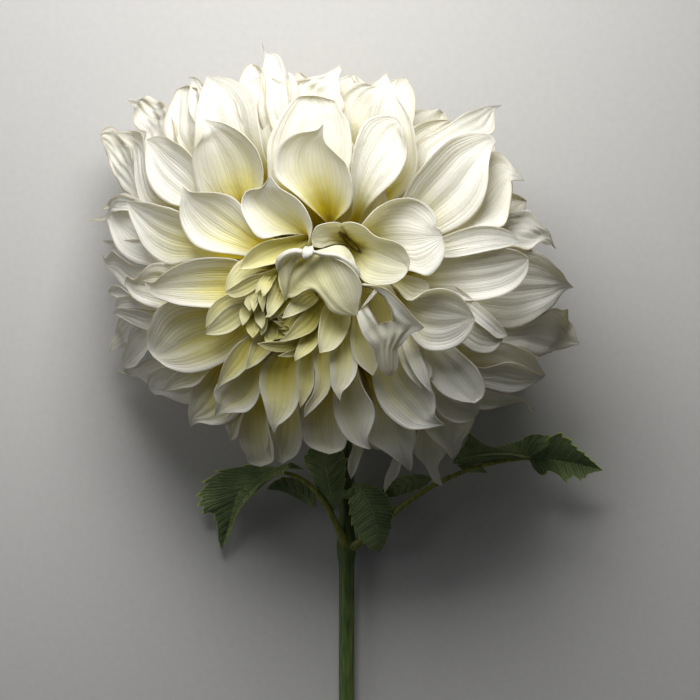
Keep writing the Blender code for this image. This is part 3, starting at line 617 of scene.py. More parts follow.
# Each petal: as in the rows of the outer petals
MIDDLE_PETALS = (
    (((-64, 33.5), (-67.5, 42), (-68.5, 51), (-67.5, 57.5), (-64.5, 62.5), (-63, 66.5)), (-62.5, 72),
     ((-36.5, 31), (-32.5, 42.5), (-32, 50), (-34.5, 57.5), (-41.5, 64.5), (-51.5, 69.5), (-58.5, 71)),
     0, 22, 0.17, 0.3),
    (((-30, 33.5), (-32.5, 50), (-32, 61), (-29, 68.5), (-23.5, 76.5), (-17.5, 82)), (-9.5, 82.5),
     ((6.5, 38.5), (8, 52), (8, 63.5), (5.5, 72.5), (1, 80), (-3.5, 81.5)), -2, 22, 0.14, 0.4),
    (((8.5, 30), (7.5, 41), (8, 53.5), (10.5, 62.5), (16, 70.5), (23, 73), (29, 72)), (32, 68.5),
     ((16.5, 30), (25, 38.5), (31.5, 45), (35, 51), (35.5, 57), (32.5, 62.5)), -1, 24, 0.16, 0.4),
    (((-33.5, 5), (-47.5, 6.5), (-60, 8), (-67.5, 11.5), (-72, 17.5), (-74.5, 25), (-74, 32.5)),
     (-72.5, 39.5),
     ((-36.5, 20), (-43.5, 28), (-49.5, 33.5), (-56.5, 36.5), (-65, 37), (-69, 37)), 1, 20, 0.15, 0.3),
    (((-60, 5), (-71.5, 3.5), (-81, 2.5), (-89, 6.5), (-94, 13), (-97.5, 21), (-100, 28)), (-101, 33),
     ((-60, 18.5), (-67.5, 25), (-76.5, 29.5), (-86, 32), (-94, 33)), -2, 18, 0.14, 0.4),
    (((-36.5, -3), (-46, 4), (-56.5, 5), (-67.5, 4), (-76.5, 1), (-83.5, -3), (-87.5, -6)), (-92, -5.5),
     ((-45, -18), (-60, -19), (-72.5, -18), (-81.5, -15.5), (-87.5, -13), (-90.5, -10)), 1, 16, 0.16, 0.3),
    (((-47.5, -11.5), (-65, -14), (-80, -15), (-87, -20.5), (-90, -28.5), (-91.5, -35.5), (-90, -40)),
     (-87, -42.5),
     ((-36.5, -29), (-46.5, -40), (-56, -47), (-67.5, -50), (-77.5, -49), (-83.5, -46)), -2, 16, 0.13, 0.4),
    (((-65, -39), (-74, -47.5), (-80.5, -53)), (-84, -59.5),
     ((-52.5, -43), (-61, -50.5), (-67, -56.5), (-75.5, -58)), -4, 12, 0.15, 0.4),
    (((-35, -38), (-46.5, -48.5), (-55, -54.5), (-58.5, -59.5), (-57.5, -64.5)), (-58.5, -72),
     ((-31.5, -44), (-35, -56.5), (-37, -64), (-42, -69), (-49.5, -69.5), (-54.5, -70)), -2, 14, 0.15, 0.3),
    (((-32.5, -25), (-41, -32), (-47.5, -36.5), (-52.5, -43.5), (-55, -50.5)), (-57, -58),
     ((-30, -30), (-38.5, -36.5), (-42, -47), (-47, -52), (-52.5, -55)), 0, 14, 0.18, 0.2),
    (((-33.5, -29), (-39.5, -35), (-41.5, -42.5)), (-42.5, -48.5),
     ((-27.5, -36.5), (-31.5, -41), (-37.5, -46)), -1, 10, 0.15, 0.2),
    (((-21.5, -36.5), (-30, -40.5), (-35, -47), (-36.5, -55.5), (-34, -65), (-32, -73)), (-29, -79.5),
     ((-16, -36.5), (-16.5, -49), (-16.5, -59), (-19, -68), (-24, -73.5), (-27, -75.5)), -1, 16, 0.18, 0.2),
    (((-13.5, -33), (-17, -44), (-17.5, -55), (-17, -62)), (-16.5, -67),
     ((-8.5, -33), (-10, -45), (-9.5, -55.5), (-13, -62.5)), -4, 14, 0.2, 0.2),
    (((-7.5, -31.5), (-10, -42.5), (-9, -51.5), (-10.5, -60), (-14, -66)), (-14.5, -71.5),
     ((-1.5, -31.5), (-1, -43), (-1, -53), (-3, -59.5), (-9, -66.5)), -1, 16, 0.16, 0.2),
    (((0, -28), (-2.5, -40), (-2, -49), (-1.5, -56), (0.5, -60)), (3, -63.5),
     ((9.5, -28), (11, -40), (10.5, -50), (7, -56), (4, -59)), 0, 18, 0.16, 0.2),
    (((5.5, -48), (-0.5, -60), (0, -70), (3, -78), (8, -83.5), (13, -86)), (17.5, -87),
     ((8.5, -36.5), (11.5, -47), (14.5, -56), (19, -63.5), (20, -70), (18, -76), (16, -81.5)),
     -3, 14, 0.16, 0.3),
    (((18, -34), (17.5, -45), (19, -56.5), (22, -65.5), (28, -72.5), (35.5, -77), (42.5, -77)), (53, -75),
     ((30, -31.5), (36.5, -43), (42.5, -53), (47.5, -59), (48.5, -65.5), (48, -70)), -1, 16, 0.14, 0.3),
    (((30.5, -33), (34.5, -43), (40, -53)), (47, -60), ((37.5, -30), (41.5, -41.5), (45, -51)),
     -2, 12, 0.15, 0.2),
    (((36.5, -35), (43.5, -50), (51.5, -59.5), (60, -63.5)), (67.5, -64.5),
     ((52.5, -34), (62.5, -42), (69.5, -49), (72.5, -57), (71, -62)), -2, 16, 0.13, 0.3),
    (((31.5, 32), (36.5, 43), (45, 53.5), (54, 61.5), (61.5, 64), (70, 65), (75.5, 63.5)), (77.5, 60.5),
     ((51.5, 16), (67.5, 27), (73, 39.5), (74, 50), (75.5, 57.5)), -2, 24, 0.13, 0.4),
    (((45, 13), (53.5, 16), (61.5, 19), (68.5, 20.5), (76.5, 20), (83, 18)), (88.5, 13),
     ((45, 5), (57.5, 5), (72.5, 8), (84, 10.5)), -1, 18, 0.12, 0.3),
    (((40, 4), (52.5, 8), (65, 10), (77.5, 10.5), (86.5, 9)), (93, 5),
     ((45, -13), (60, -15.5), (71.5, -15.5), (81, -13), (88.5, -8), (92.5, -1.5)), -1, 22, 0.13, 0.3),
    (((57.5, -8), (67.5, -16), (75, -22.5), (81, -28.5)), (83, -32),
     ((56.5, -16.5), (66, -24.5), (72.5, -29.5), (78.5, -33.5)), -3, 14, 0.12, 0.3),
    (((58.5, -18), (67.5, -24.5), (75, -29.5)), (81, -34),
     ((55, -30), (63, -37), (69, -40.5), (76, -39.5)), -4, 14, 0.14, 0.4),
    (((60, -44), (71.5, -47), (82.5, -44.5), (92.5, -47.5)), (100.5, -52),
     ((58.5, -53), (72.5, -57), (84, -59.5), (94.5, -56.5)), -4, 14, 0.12, 0.5),
)

middle_petals = sheets_object(
    "middle_petals", *traced_petals(MIDDLE_PETALS, seed=12), PETAL_THICKNESS, petal_white
)
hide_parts("bloom")
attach(middle_petals, "root")

# Petals round the mouth
# The large young petals that stand round the dark hollow above the bloom's middle. Each is curled its
# own way and drawn from three curves: its two rims and its midrib. One is torn through, and the throat
# narrows to a slit, whose edge has painted shade in the brown of a torn edge.

# Each petal: root to the right and up on the base, then points of one rim, of the midrib and of the
# other rim, then the tip. A point gives the place to the right and up, and the lift above the face. The
# rolls say how far either rim is turned up, and the fold how sharply the midrib is folded
MOUTH_PETALS = (
    {
        "root": (-2, 17),
        "left": ((-3.5, 21.5, -36), (-17.5, 33.5, -16), (-28.5, 44.5, -6), (-27, 56, -1), (-18.5, 63.5, 2),
                 (-7.5, 66, 5)),
        "middle": ((-2, 22, -40), (-4.5, 33.5, -26), (-7.5, 43.5, -18), (-9, 52, -12), (-9, 58.5, -6),
                   (-6.5, 63.5, 2)),
        "right": ((-0.5, 22, -36), (8.5, 31, -10), (10.5, 39.5, -2), (7.5, 51, 2), (1, 56, 4),
                  (-4.5, 60.5, 5)),
        "tip": (-5, 69, 8),
        "rolls": (0.2, 0.6),
    },
    {
        "root": (-11, 11),
        "left": ((-12, 16, -20), (-22.5, 16, -10), (-35.5, 13.5, -2), (-42, 20.5, 1), (-45, 29.5, 2),
                 (-42, 36.5, 3), (-34.5, 38, 4)),
        "middle": ((-12, 16, -20), (-18.5, 21.5, -13), (-25, 26, -9), (-30, 30, -6), (-33.5, 33.5, -3),
                   (-34, 36, 0), (-32.5, 38.5, 3)),
        "right": ((-12, 12.5, -3), (-10.5, 19, 1), (-11.5, 23.5, 3), (-14, 29, 4), (-18, 34, 4),
                  (-22, 36.5, 5), (-26, 38.5, 5)),
        "tip": (-30.5, 44, 7),
        "rolls": (0.3, 0.7),
    },
    {
        "root": (14, 14),
        "left": ((11.5, 18, -24), (13.5, 24, -4), (19.5, 30.5, 1), (28.5, 34, 3), (38.5, 33, 3),
                 (46.5, 27.5, 3), (48.7, 21.5, 3), (47.6, 19.6, 2), (50.2, 18.4, 3)),
        "middle": ((13.5, 15, -28), (19.5, 17, -20), (26.5, 18, -12), (33.5, 18, -6), (40.5, 17, -2),
                   (46.5, 16, 0), (50.5, 15.5, 1.5)),
        "right": ((16.5, 11, -24), (22.5, 5, -16), (29.5, 0, -8), (37.5, -2, -2), (44.5, -4, 1),
                  (49.5, 0, 2), (52.5, 7, 2)),
        "tip": (51.5, 14.5, 2),
        "rolls": (0.7, 0.4),
    },
    {
        "root": (-12, 8),
        "left": ((-9.5, 8.3, 7), (-6.5, 7.3, 7.5), (-2.5, 6.9, 7), (1, 6.6, 7), (4.5, 5.2, 7),
                 (8.3, 3, 7), (11.3, -0.3, 6.5)),
        "middle": ((-9.5, 7.5, 8), (-6.5, 6.4, 8), (-2.5, 5.9, 8), (0.8, 5.6, 8), (4.1, 4.1, 8),
                   (7.7, 1.9, 7.8), (10.6, -1.2, 7.2)),
        "right": ((-9.5, 6.7, 6.5), (-6.5, 5.5, 6.2), (-2.5, 4.9, 6.2), (0.5, 4.6, 6.2), (3.7, 3, 6.2),
                  (7, 0.8, 6.2), (9.8, -2.3, 5.8)),
        "tip": (12.8, -5.2, 5.5),
    },
    {
        "root": (-10, 7),
        "left": ((-15.5, 9, 6), (-19.3, 9.3, 7), (-23.5, 8, 7), (-27, 5.2, 6), (-27.8, 2, 4)),
        "middle": ((-15.6, 7.2, 8), (-19.2, 7.6, 9), (-22.8, 6.4, 9), (-25.8, 4, 8), (-26.8, 1, 5.5)),
        "right": ((-15.6, 5.6, 6), (-19, 6, 7), (-22, 4.8, 7), (-24.5, 2.8, 6), (-25.8, 0, 4)),
        "tip": (-26.8, -2, 2),
    },
    {
        "root": (-8, 10),
        "left": ((-14.5, 9, 4), (-15.2, 6.5, 6), (-14.5, 4.4, 7)),
        "middle": ((-12.5, 9, 5), (-12.6, 7, 8), (-13, 5, 8)),
        "right": ((-10, 9.8, 4), (-9.5, 7.6, 6), (-11.2, 5, 7)),
        "tip": (-13.3, 3.8, 6),
    },
    {
        "root": (24, -8),
        "left": ((30.5, -10.5, -18), (36.5, -14.5, -2), (42.5, -9, 2), (50.5, -8, 3), (57.5, -10.5, 4),
                 (62.5, -16, 4)),
        "middle": ((31.5, -15, -24), (38.5, -21.5, -12), (45.5, -24, -7), (52.5, -24.5, -4), (58.5, -24, -1),
                   (63.5, -23.5, 1)),
        "right": ((32.5, -20, -18), (36.5, -31, -6), (43.5, -38, -2), (52.5, -39, 0), (60.5, -36, 1),
                  (65.5, -30, 2)),
        "tip": (67, -24, 3),
        "rolls": (0.6, 0.2),
    },
)

# Each petal: as in the mouth's petals. These line its throat and are yellower
THROAT_PETALS = (
    {
        "root": (-11, 12),
        "left": ((-11.5, 16.5, -20), (-22.5, 15, -10), (-33.5, 13, -4), (-40.5, 8, 0), (-44, 3, 1)),
        "middle": ((-11.5, 14.5, -24), (-20.5, 11.5, -16), (-29.5, 8, -10), (-36.5, 4.5, -5),
                   (-41.5, 1.5, -2)),
        "right": ((-11.5, 13, -20), (-18.5, 8, -12), (-26, 3.5, -6), (-33.5, 1, -2), (-39.5, -0.5, 0)),
        "tip": (-45.5, -0.5, 2),
        "rolls": (0.2, 0.2),
    },
    {
        "root": (9, 11),
        "left": ((3, 20, -4), (4.8, 21.9, 3), (9, 22.4, 5), (15, 20.6, 6), (20.5, 16.6, 7), (28, 14, 8),
                 (33.5, 10, 8), (35.8, 4, 8)),
        "middle": ((6.5, 14.5, -44), (9.5, 12.4, -34), (13, 10.2, -20), (17.5, 8.6, -9), (22, 7, -3),
                   (26, 5, 0), (30, 3, 2), (34, 1, 4)),
        "right": ((7, 9.5, -34), (8.5, 4, -20), (11, -1.5, -8), (14, -6.5, -1), (18, -8, 1),
                  (22.5, -8.3, 3), (28.5, -7.3, 4), (33, -4.5, 5)),
        "tip": (35, -1.5, 6),
        "rolls": (0.9, 0.2),
        "fold": 1.0,
    },
    {
        "root": (8, 12.5),
        "left": ((4.5, 20.3, -3), (1, 21.3, 2), (-4, 21, 3), (-8.5, 19.5, 3), (-10.3, 16.5, 2)),
        "middle": ((6, 15, -26), (2, 15.8, -12), (-3, 15.6, -4), (-7, 15, -1), (-9.5, 14.3, 0)),
        "right": ((6, 11.8, -26), (2, 11.5, -13), (-3, 10.6, -5), (-7, 9.4, -2), (-10, 10.5, -1)),
        "tip": (-10.8, 13.5, 0),
        "rolls": (0.5, 0.0),
    },
    {
        "root": (8, 7),
        "left": ((11, -1, 1), (8.8, 5, -3), (5, 9.8, -5), (1, 10.6, -3), (-4, 9.3, 0), (-8, 8.2, 3)),
        "middle": ((10, -3, 3), (8, 2.5, 2), (4.5, 6.5, 1.5), (0, 7.6, 2.5), (-4.5, 7.4, 3.5),
                   (-8, 7.6, 4.5)),
        "right": ((11, -3.5, 5), (8.7, 0.4, 6), (5, 3.6, 6), (0.5, 5.6, 5.5), (-4, 6.3, 5), (-8, 7, 5)),
        "tip": (-9.8, 7.8, 5),
        "rolls": (0.0, 0.2),
    },
    {
        "root": (-2, 8),
        "left": ((-15, 6.5, 0), (-19.5, 1.5, 0.5), (-22, -4, 0.5), (-23, -9, 0.5), (-23.5, -14.5, 0.5),
                 (-19.5, -13, 1), (-16, -10.5, 1.5), (-12.5, -9.5, 2), (-8.5, -12, 2), (-5.5, -15.5, 2),
                 (-1.5, -20.5, 2.5), (3, -22.3, 2)),
        "middle": ((-8.5, 5, 1), (-8, 1, -1), (-6.5, -3.5, 0), (-4.5, -8, 2), (-2, -12, 3),
                   (1.5, -16.5, 3.5), (6, -20.5, 3)),
        "right": ((-3, 6.6, 4.5), (1, 5.8, 5.5), (5, 4, 6), (9, 0.6, 6), (12, -4, 5.5), (13.4, -9, 4.5),
                  (12.4, -15, 3.5), (11.6, -19, 2.5)),
        "tip": (11, -22.8, 2),
        "rolls": (0.0, 0.6),
        "fold": 0.5,
    },
    {
        "root": (-10, 8),
        "left": ((-15.5, 8.7, 3), (-19.3, 8.8, 4), (-23.5, 7.6, 4), (-26.5, 5.5, 3), (-27, 2, 2),
                 (-26, -3.8, 1), (-24.8, -9, 1), (-24, -12.3, 0.5)),
        "middle": ((-15, 7, 3.5), (-19, 6.5, 4.5), (-22.5, 4.5, 4.5), (-24, 1, 3.5), (-23.8, -4, 2.5),
                   (-23.4, -9, 2), (-23.4, -12.5, 1)),
        "right": ((-14, 6, 2.5), (-17, 4.5, 2), (-19, 2, 1.5), (-20.7, -3, 1.2), (-22, -8, 1),
                  (-22.8, -12.3, 0.8)),
        "tip": (-23.4, -14.5, 0.3),
        "rolls": (0.6, 0.0),
    },
)

# The narrow slit down the throat, which opens on the dark inside: its outline to the right and up, and
# the cuts that divide each face before it is cut out. Its edge is painted dark brown as shade.
SLIT_CUTS = 1
SLIT = (
    (2.6, 17), (5.6, 15.4), (8.3, 13), (11, 10), (12.6, 7.4), (10.8, 8.4), (8, 10.8), (5.3, 13.2),
    (3.2, 15.4),
)

# The torn petal, drawn like the others, and the outline of the hole in it, to the right and up. A cut's
# edge is wholly marked for the first share of the mark's reach, in millimetres, then fades over that
# reach: browned round the torn petal's hole, painted shade round the throat's slit
TORN_PETAL = {
    "root": (12, -4),
    "left": ((10, -12, -8), (11.7, -20.4, 0), (12.3, -25.8, 2), (14.6, -32.9, 3), (18.8, -37.7, 2),
             (20.6, -44.8, 0), (22.4, -49.6, -1)),
    "middle": ((12, -10, -3), (15, -15, 2), (19, -20, 4), (23, -24, 4), (26, -28, 3), (27, -32, 3),
               (25.5, -38, 2), (25.5, -44, 1), (26, -49, 0)),
    "right": ((13.5, -7.5, 2), (16.4, -7.4, 5), (23.6, -8.8, 7), (28.3, -12.4, 7), (33.1, -17.3, 7),
              (37.9, -23.2, 6), (42.9, -28.8, 5), (39, -29.8, 3), (35.5, -31.7, 2), (33.1, -35.3, 1),
              (30.1, -37.7, 0), (30.1, -43.6, -1), (29.5, -49, -1)),
    "tip": (26.5, -51.6, -1),
    "rolls": (0.3, 0.9),
}
TEAR_AND_SLIT_SHADE_REACH = 0.9
WHOLLY_TORN_AND_SHADED = 0.2
HOLE_CUTS = 3
HOLE = (
    (10, -8), (16, -9.5), (20, -11.3), (23.6, -13.9), (27.1, -19.8), (28.3, -24.6), (24.2, -25.8),
    (21.2, -26.4), (19.4, -23.4), (16.4, -17.5), (12, -19.8), (6, -18),
)

# Each petal: as in the rows of the outer petals. The first is the thread of rim across the hole, and the
# others fill in behind it and between their neighbours
FILLING_PETALS = (
    (((19, -10), (15.5, -15)), (12.5, -19.5), ((20.5, -11), (16.5, -16)), 5, 1, 0.0, 0.0),
    (((8, -10), (11, -22)), (22, -36), ((24, -6), (31, -16), (31, -26)), -15, 2, 0.05, 0.1),
    (((28.5, -8.5), (32.5, -13), (36.5, -16)), (45, -12), ((31.5, -3), (38.5, -4.5), (44.5, -7)),
     -3, 12, 0.1, 0.2),
    (((8.5, -23), (7.5, -34), (10, -44)), (18.5, -51.5), ((15.5, -23), (17.5, -34), (21.5, -44)),
     -4, 12, 0.1, 0.2),
    (((28.5, -27), (30, -40), (34, -50)), (42, -58), ((40, -30), (44, -42), (47, -50)), -5, 12, 0.12, 0.2),
)
DRAWN_CREASE = 0.2


def drawn_petal(root, left, middle, right, tip, rng, rolls=(0.0, 0.0), fold=0.0):
    """Grid of a petal through three curves that meet at its root on the base and at its tip."""
    x, y = root[0] * MM, root[1] * MM
    start = np.array([x, y, front_height(x, y, ROOT_REACH, ROOT_REACH)])
    side = ROOT_HALF * unit(on_face(*right[0]) - on_face(*left[0]))
    curves = []
    for points, across in ((left, -side), (middle, 0 * side), (right, side)):
        points = [start + across, *(on_face(*point) for point in points), on_face(*tip)]
        curves.append(smooth_curve(np.array(points), ROW_SHARES))
    return petal_sheet(*curves, rolls, DRAWN_CREASE, rng, fold)


def drawn_petals(rows, rng, dryness=0.0):
    """Grids of drawn petals in their place, and how dry each is."""
    return [drawn_petal(rng=rng, **row) + BLOOM_CENTRE for row in rows], [dryness] * len(rows)


def seen_places(parts, label):
    """Millimetres to the right and up from the bloom's centre of the points or faces of a mesh."""
    places = np.empty(len(parts) * 3)
    parts.foreach_get(label, places)
    return ((places.reshape(-1, 3) - BLOOM_CENTRE) / MM)[:, None, :2]


def cut_with_marked_edge(made, outline, cuts):
    """Cuts a hole in an object: divides its faces finer, then deletes those whose centres lie inside
    the outline, which is where a line to the right of the centre crosses it an odd number of times.
    The points near the outline are marked, the nearest most: the mark browns the edge of a hole in a
    petal, and round the throat's slit it paints shade."""
    mesh = made.data
    work = bmesh.new()
    work.from_mesh(mesh)
    bmesh.ops.subdivide_edges(work, edges=work.edges, cuts=cuts, use_grid_fill=True, smooth=1.0)
    work.to_mesh(mesh)
    corner = np.array(outline)
    after = np.roll(corner, -1, axis=0)
    side = after - corner
    centres = seen_places(mesh.polygons, "center")
    x, y = centres[..., 0], centres[..., 1]
    level = (corner[:, 1] > y) != (after[:, 1] > y)
    crossing = corner[:, 0] + (y - corner[:, 1]) / side[:, 1] * side[:, 0]
    inside = (level & (x < crossing)).sum(1) % 2 == 1
    work.faces.ensure_lookup_table()
    bmesh.ops.delete(work, geom=[work.faces[i] for i in np.flatnonzero(inside)], context="FACES")
    work.to_mesh(mesh)
    work.free()
    places = seen_places(mesh.vertices, "co")
    along = np.clip(((places - corner) * side).sum(-1) / (side**2).sum(-1), 0, 1)[..., None]
    apart = np.linalg.norm(places - corner - along * side, axis=-1).min(1)
    brown_tear_and_slit_shade = np.clip(1 + WHOLLY_TORN_AND_SHADED - apart / TEAR_AND_SLIT_SHADE_REACH, 0, 1)
    mesh.attributes.new("brown_tear_and_slit_shade", "FLOAT", "POINT").data.foreach_set("value", brown_tear_and_slit_shade)


petal_cream = petal_material("petal_cream", (
    (0.22, (0.30, 0.27, 0.01)),
    (0.42, (0.48, 0.42, 0.02)),
    (0.54, (0.66, 0.61, 0.12)),
    (0.62, (0.82, 0.79, 0.42)),
    (0.70, (0.90, 0.89, 0.70)),
    (0.79, (0.94, 0.94, 0.87)),
), paling=0.05, relief=0.4)
# The torn petal's own white, greyer and cooler towards its tip: painted shade.
petal_painted_shade = petal_material("petal_painted_shade", (
    (0.30, (0.55, 0.48, 0.05)),
    (0.55, (0.90, 0.86, 0.50)),
    (0.66, (0.93, 0.92, 0.80)),
    (0.76, (0.91, 0.92, 0.93)),
), paling=0.10, relief=0.3)
rng = np.random.default_rng(18)
mouth_grids, mouth_dryness = drawn_petals(MOUTH_PETALS, rng)
throat_grids, throat_dryness = drawn_petals(THROAT_PETALS, rng)
filling_grids, filling_dryness = traced_petals(FILLING_PETALS, seed=19)
inner_petals = sheets_object(
    "inner_petals", mouth_grids + filling_grids, mouth_dryness + filling_dryness,
    PETAL_THICKNESS, petal_white,
)
torn_petal = sheets_object(
    "torn_petal", *drawn_petals([TORN_PETAL], rng, dryness=1.0), PETAL_THICKNESS, petal_painted_shade
)
cut_with_marked_edge(torn_petal, HOLE, HOLE_CUTS)
throat_petals = sheets_object("throat_petals", throat_grids, throat_dryness, PETAL_THICKNESS, petal_cream)
# The slit's edge gets the brown mark too, as painted shade of the dark inside.
cut_with_marked_edge(throat_petals, SLIT, SLIT_CUTS)
for piece in (inner_petals, torn_petal, throat_petals):
    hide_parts("bloom")
    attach(piece, "root")

# Heart
# The youngest petals, small, stiff and yellow-green. They point the way that the bloom faces and close
# over the round base that every petal grows from.

# Each petal: as in the rows of the outer petals
HEART_PETALS = (
    (((-20, -4), (-27, -10), (-30, -17)), (-31, -25), ((-12, -10), (-18, -16), (-25, -22)),
     -5, 14, 0.1, 0.1),
    (((-14, -14), (-21, -20)), (-27, -29), ((-8, -18), (-15, -25), (-22, -29)), -6, 14, 0.1, 0.1),
    (((-35, -14), (-44, -16), (-51.5, -18.5), (-57.5, -24), (-61, -28.5)), (-62, -31.5),
     ((-33.5, -19), (-41, -23), (-45.5, -28), (-50.5, -31), (-56.5, -32)), 0, 14, 0.16, 0.1),
    (((-40, -9), (-50.5, -12), (-57, -15.5), (-61, -21.5)), (-62, -28.5),
     ((-36.5, -13), (-46, -16), (-53.5, -21)), -2, 12, 0.14, 0.1),
    (((-25.5, 0), (-34, -2), (-41.5, -4), (-47.5, -8)), (-52.5, -11.5),
     ((-29.5, -5.5), (-35.5, -8.5), (-41.5, -12.5), (-48, -14)), 1, 12, 0.14, 0.1),
    (((-38.5, 5), (-45.5, 3.5), (-50, -2), (-52, -7.5)), (-52.5, -11),
     ((-34.5, -1.5), (-41.5, -5), (-47, -8.5)), 0, 12, 0.14, 0.1),
    (((-31.5, -3), (-39.5, -10.5), (-43, -16.5)), (-40.5, -20.5),
     ((-30.5, -5.5), (-35.5, -11.5), (-37.5, -17)), 0, 16, 0.12, 0.1),
    (((-27.5, 1), (-32, -2), (-36, -9), (-36.5, -14.5)), (-34, -21),
     ((-26, -1), (-28.5, -6), (-32, -12), (-33, -17)), 1, 18, 0.14, 0.1),
    (((-25.5, -2), (-30, -8), (-32, -13.5), (-32.5, -18.5)), (-31.5, -24),
     ((-22.5, -9), (-23, -14.5), (-26, -18.5), (-29, -22)), 1, 20, 0.10, 0.1),
    (((-32.5, -2.5), (-34.5, -6.5), (-34.8, -11)), (-34, -14), ((-28, -4.5), (-30, -9), (-32.5, -12.5)),
     3, 18, 0.12, 0.1),
    (((-36, -7), (-39.5, -12), (-40, -17)), (-38.5, -21), ((-33, -9), (-35.5, -14), (-37.5, -19)),
     1, 18, 0.12, 0.1),
    (((-29, -12), (-31.5, -16), (-31, -20)), (-33, -23.5), ((-26, -15), (-27, -19), (-30, -23)),
     2, 20, 0.10, 0.1),
    (((-24.5, -19), (-28, -21)), (-31, -22.5), ((-23, -21.5), (-27, -23.5)), -1, 14, 0.10, 0.6),
    (((-21, -24.5), (-25, -25.5)), (-29.5, -25), ((-20, -27), (-25, -28)), -2, 14, 0.10, 0.6),
    (((-34, -22), (-38, -26)), (-38.5, -31), ((-32, -24), (-33, -29)), -1, 16, 0.12, 0.2),
    (((-37.5, -16.5), (-38.5, -21.5), (-37.5, -25.5)), (-34.5, -29), ((-33.5, -17), (-33, -22), (-33, -26)),
     0, 18, 0.14, 0.3),
    (((-26, -27), (-23.8, -27), (-21.9, -27.6)), (-20.8, -29.5), ((-26.5, -29), (-25, -31), (-23, -31.5)),
     -3, 8, 0.30, 0.3),
    (((-30, -28), (-33.5, -31)), (-33, -35.5), ((-26.5, -29), (-27.5, -32.5), (-30, -35)),
     -2, 14, 0.16, 0.3),
    (((-40.5, -13), (-44, -17.5), (-45.5, -22)), (-44, -27.5), ((-37, -15), (-39, -20), (-41.5, -25)),
     0, 18, 0.16, 0.3),
    (((-29.5, -0.5), (-33.5, -3), (-36.5, -7)), (-38, -12.5), ((-28, -2), (-31.5, -6), (-35, -10)),
     1, 16, 0.16, 0.3),
    (((-25.5, 1), (-27, -4.5), (-25.5, -10.5)), (-23, -15.5),
     ((-17.5, -1.5), (-17.5, -6), (-21, -11.5)), 0, 20, 0.12, 0.1),
    (((-9.5, -9), (-15.5, -9.5), (-19.5, -13.5), (-22.5, -18.5)), (-25, -24),
     ((-6.5, -14), (-11, -18.5), (-16, -21), (-20.5, -23)), 1, 22, 0.12, 0.1),
    (((-17.5, -22), (-22, -23.5), (-25.5, -23)), (-28, -22),
     ((-17.5, -26.5), (-22, -27.5), (-26, -25.5)), -4, 14, 0.14, 0.1),
    (((-6.5, -14), (-14.5, -20.5), (-18.5, -25), (-22, -30.5)), (-26.5, -35),
     ((-5, -18), (-7, -25), (-9.5, -29.5), (-15, -32.5), (-21.5, -34.5)), 1, 22, 0.12, 0.1),
    (((-4.5, -17), (-7, -24), (-8, -31.5), (-7.5, -37)), (-7, -40.5),
     ((8.5, -20), (7.5, -28), (4, -34.5), (-0.5, -39)), 1, 20, 0.12, 0.1),
    (((-14.5, -29), (-17.5, -36.5), (-19, -41.5)), (-19, -44.5),
     ((-6.5, -27), (-7.5, -35), (-11, -39.5), (-15.5, -42.5)), 0, 18, 0.12, 0.1),
    (((-16.5, -33), (-23.5, -35), (-31.5, -35)), (-37, -36), ((-16.5, -37), (-23.5, -40), (-32, -39)),
     0, 16, 0.14, 0.1),
    (((-17.5, -37.5), (-22.5, -40)), (-27, -42), ((-16.5, -40.5), (-21.5, -42.5)), -1, 12, 0.12, 0.1),
    (((-38.5, -18), (-42, -24), (-42, -29.5)), (-39, -33.5), ((-34.5, -19), (-35.5, -25), (-36, -30)),
     0, 18, 0.14, 0.1),
    (((-35, -14), (-37.5, -20), (-36.5, -26.5)), (-35, -32), ((-32, -17), (-31.5, -24), (-32.5, -29.5)),
     -2, 18, 0.14, 0.1),
    (((-30, -21.5), (-32.5, -27), (-32, -32)), (-30, -35), ((-26.5, -22), (-26.5, -28), (-27.5, -33)),
     -5, 14, 0.14, 0.1),
    (((-25.5, -25), (-27.5, -29.5)), (-28, -34), ((-21.5, -26.5), (-22, -30.5), (-24.5, -33)),
     -5, 14, 0.14, 0.1),
)

BUD_PETALS = 44
BUD_REACH = (0.066, 0.074)
BUD_WIDTH = (0.005, 0.018)
BUD_TO = math.radians(32)
BUD_FROM_SHARE = 0.12
BUD_CLOSING = 0.8
BUD_SHAPE = {"cup": 0.9, "curl": 0.3, "crease": 0.2, "inward": 2.0}
GOLDEN_ANGLE = math.pi * (3 - math.sqrt(5))

# Petals made by rule: their grid, their outline in shares of the width and the length, the course of
# the midrib in shares of its chord, the cup in shares of that at the widest place, and their relief
RULE_ROWS = 26
RULE_COLUMNS = 18
RULE_CROWDED_AT_TIP = 1.25
ROOT_WIDTH = 0.34
WIDEST_AT = 0.62
POINT_SHARE = 0.08
ROOT_LEAN = 0.35
ROOT_PULL = 0.36
TIP_PULL = 0.34
TIP_DROOP = 0.15
CUP_AT_ROOT = 1.5
CUP_ADDED_AT_TIP = 0.35
ROLL_KEPT_FROM = 0.92
FACE_SHARE = 0.6
RULE_PLEATS = 4.5
RULE_PLEAT_DEPTH = 0.00035
RULE_PLEAT_SHIFT = (-0.5, 0.5)
RULE_RIM_WAVES = 7
RULE_CREASE_WAVES = 12.0
RULE_JAG_WAVES = 30.0
RULE_JAG = 0.05


def running_sum(slopes, step):
    """Integral across the petal from its midrib, by trapezoids."""
    sums = np.cumsum((slopes[:, 1:] + slopes[:, :-1]) / 2, axis=1) * step
    sums = np.concatenate([np.zeros((len(slopes), 1)), sums], axis=1)
    return sums - sums[:, [slopes.shape[1] // 2]]


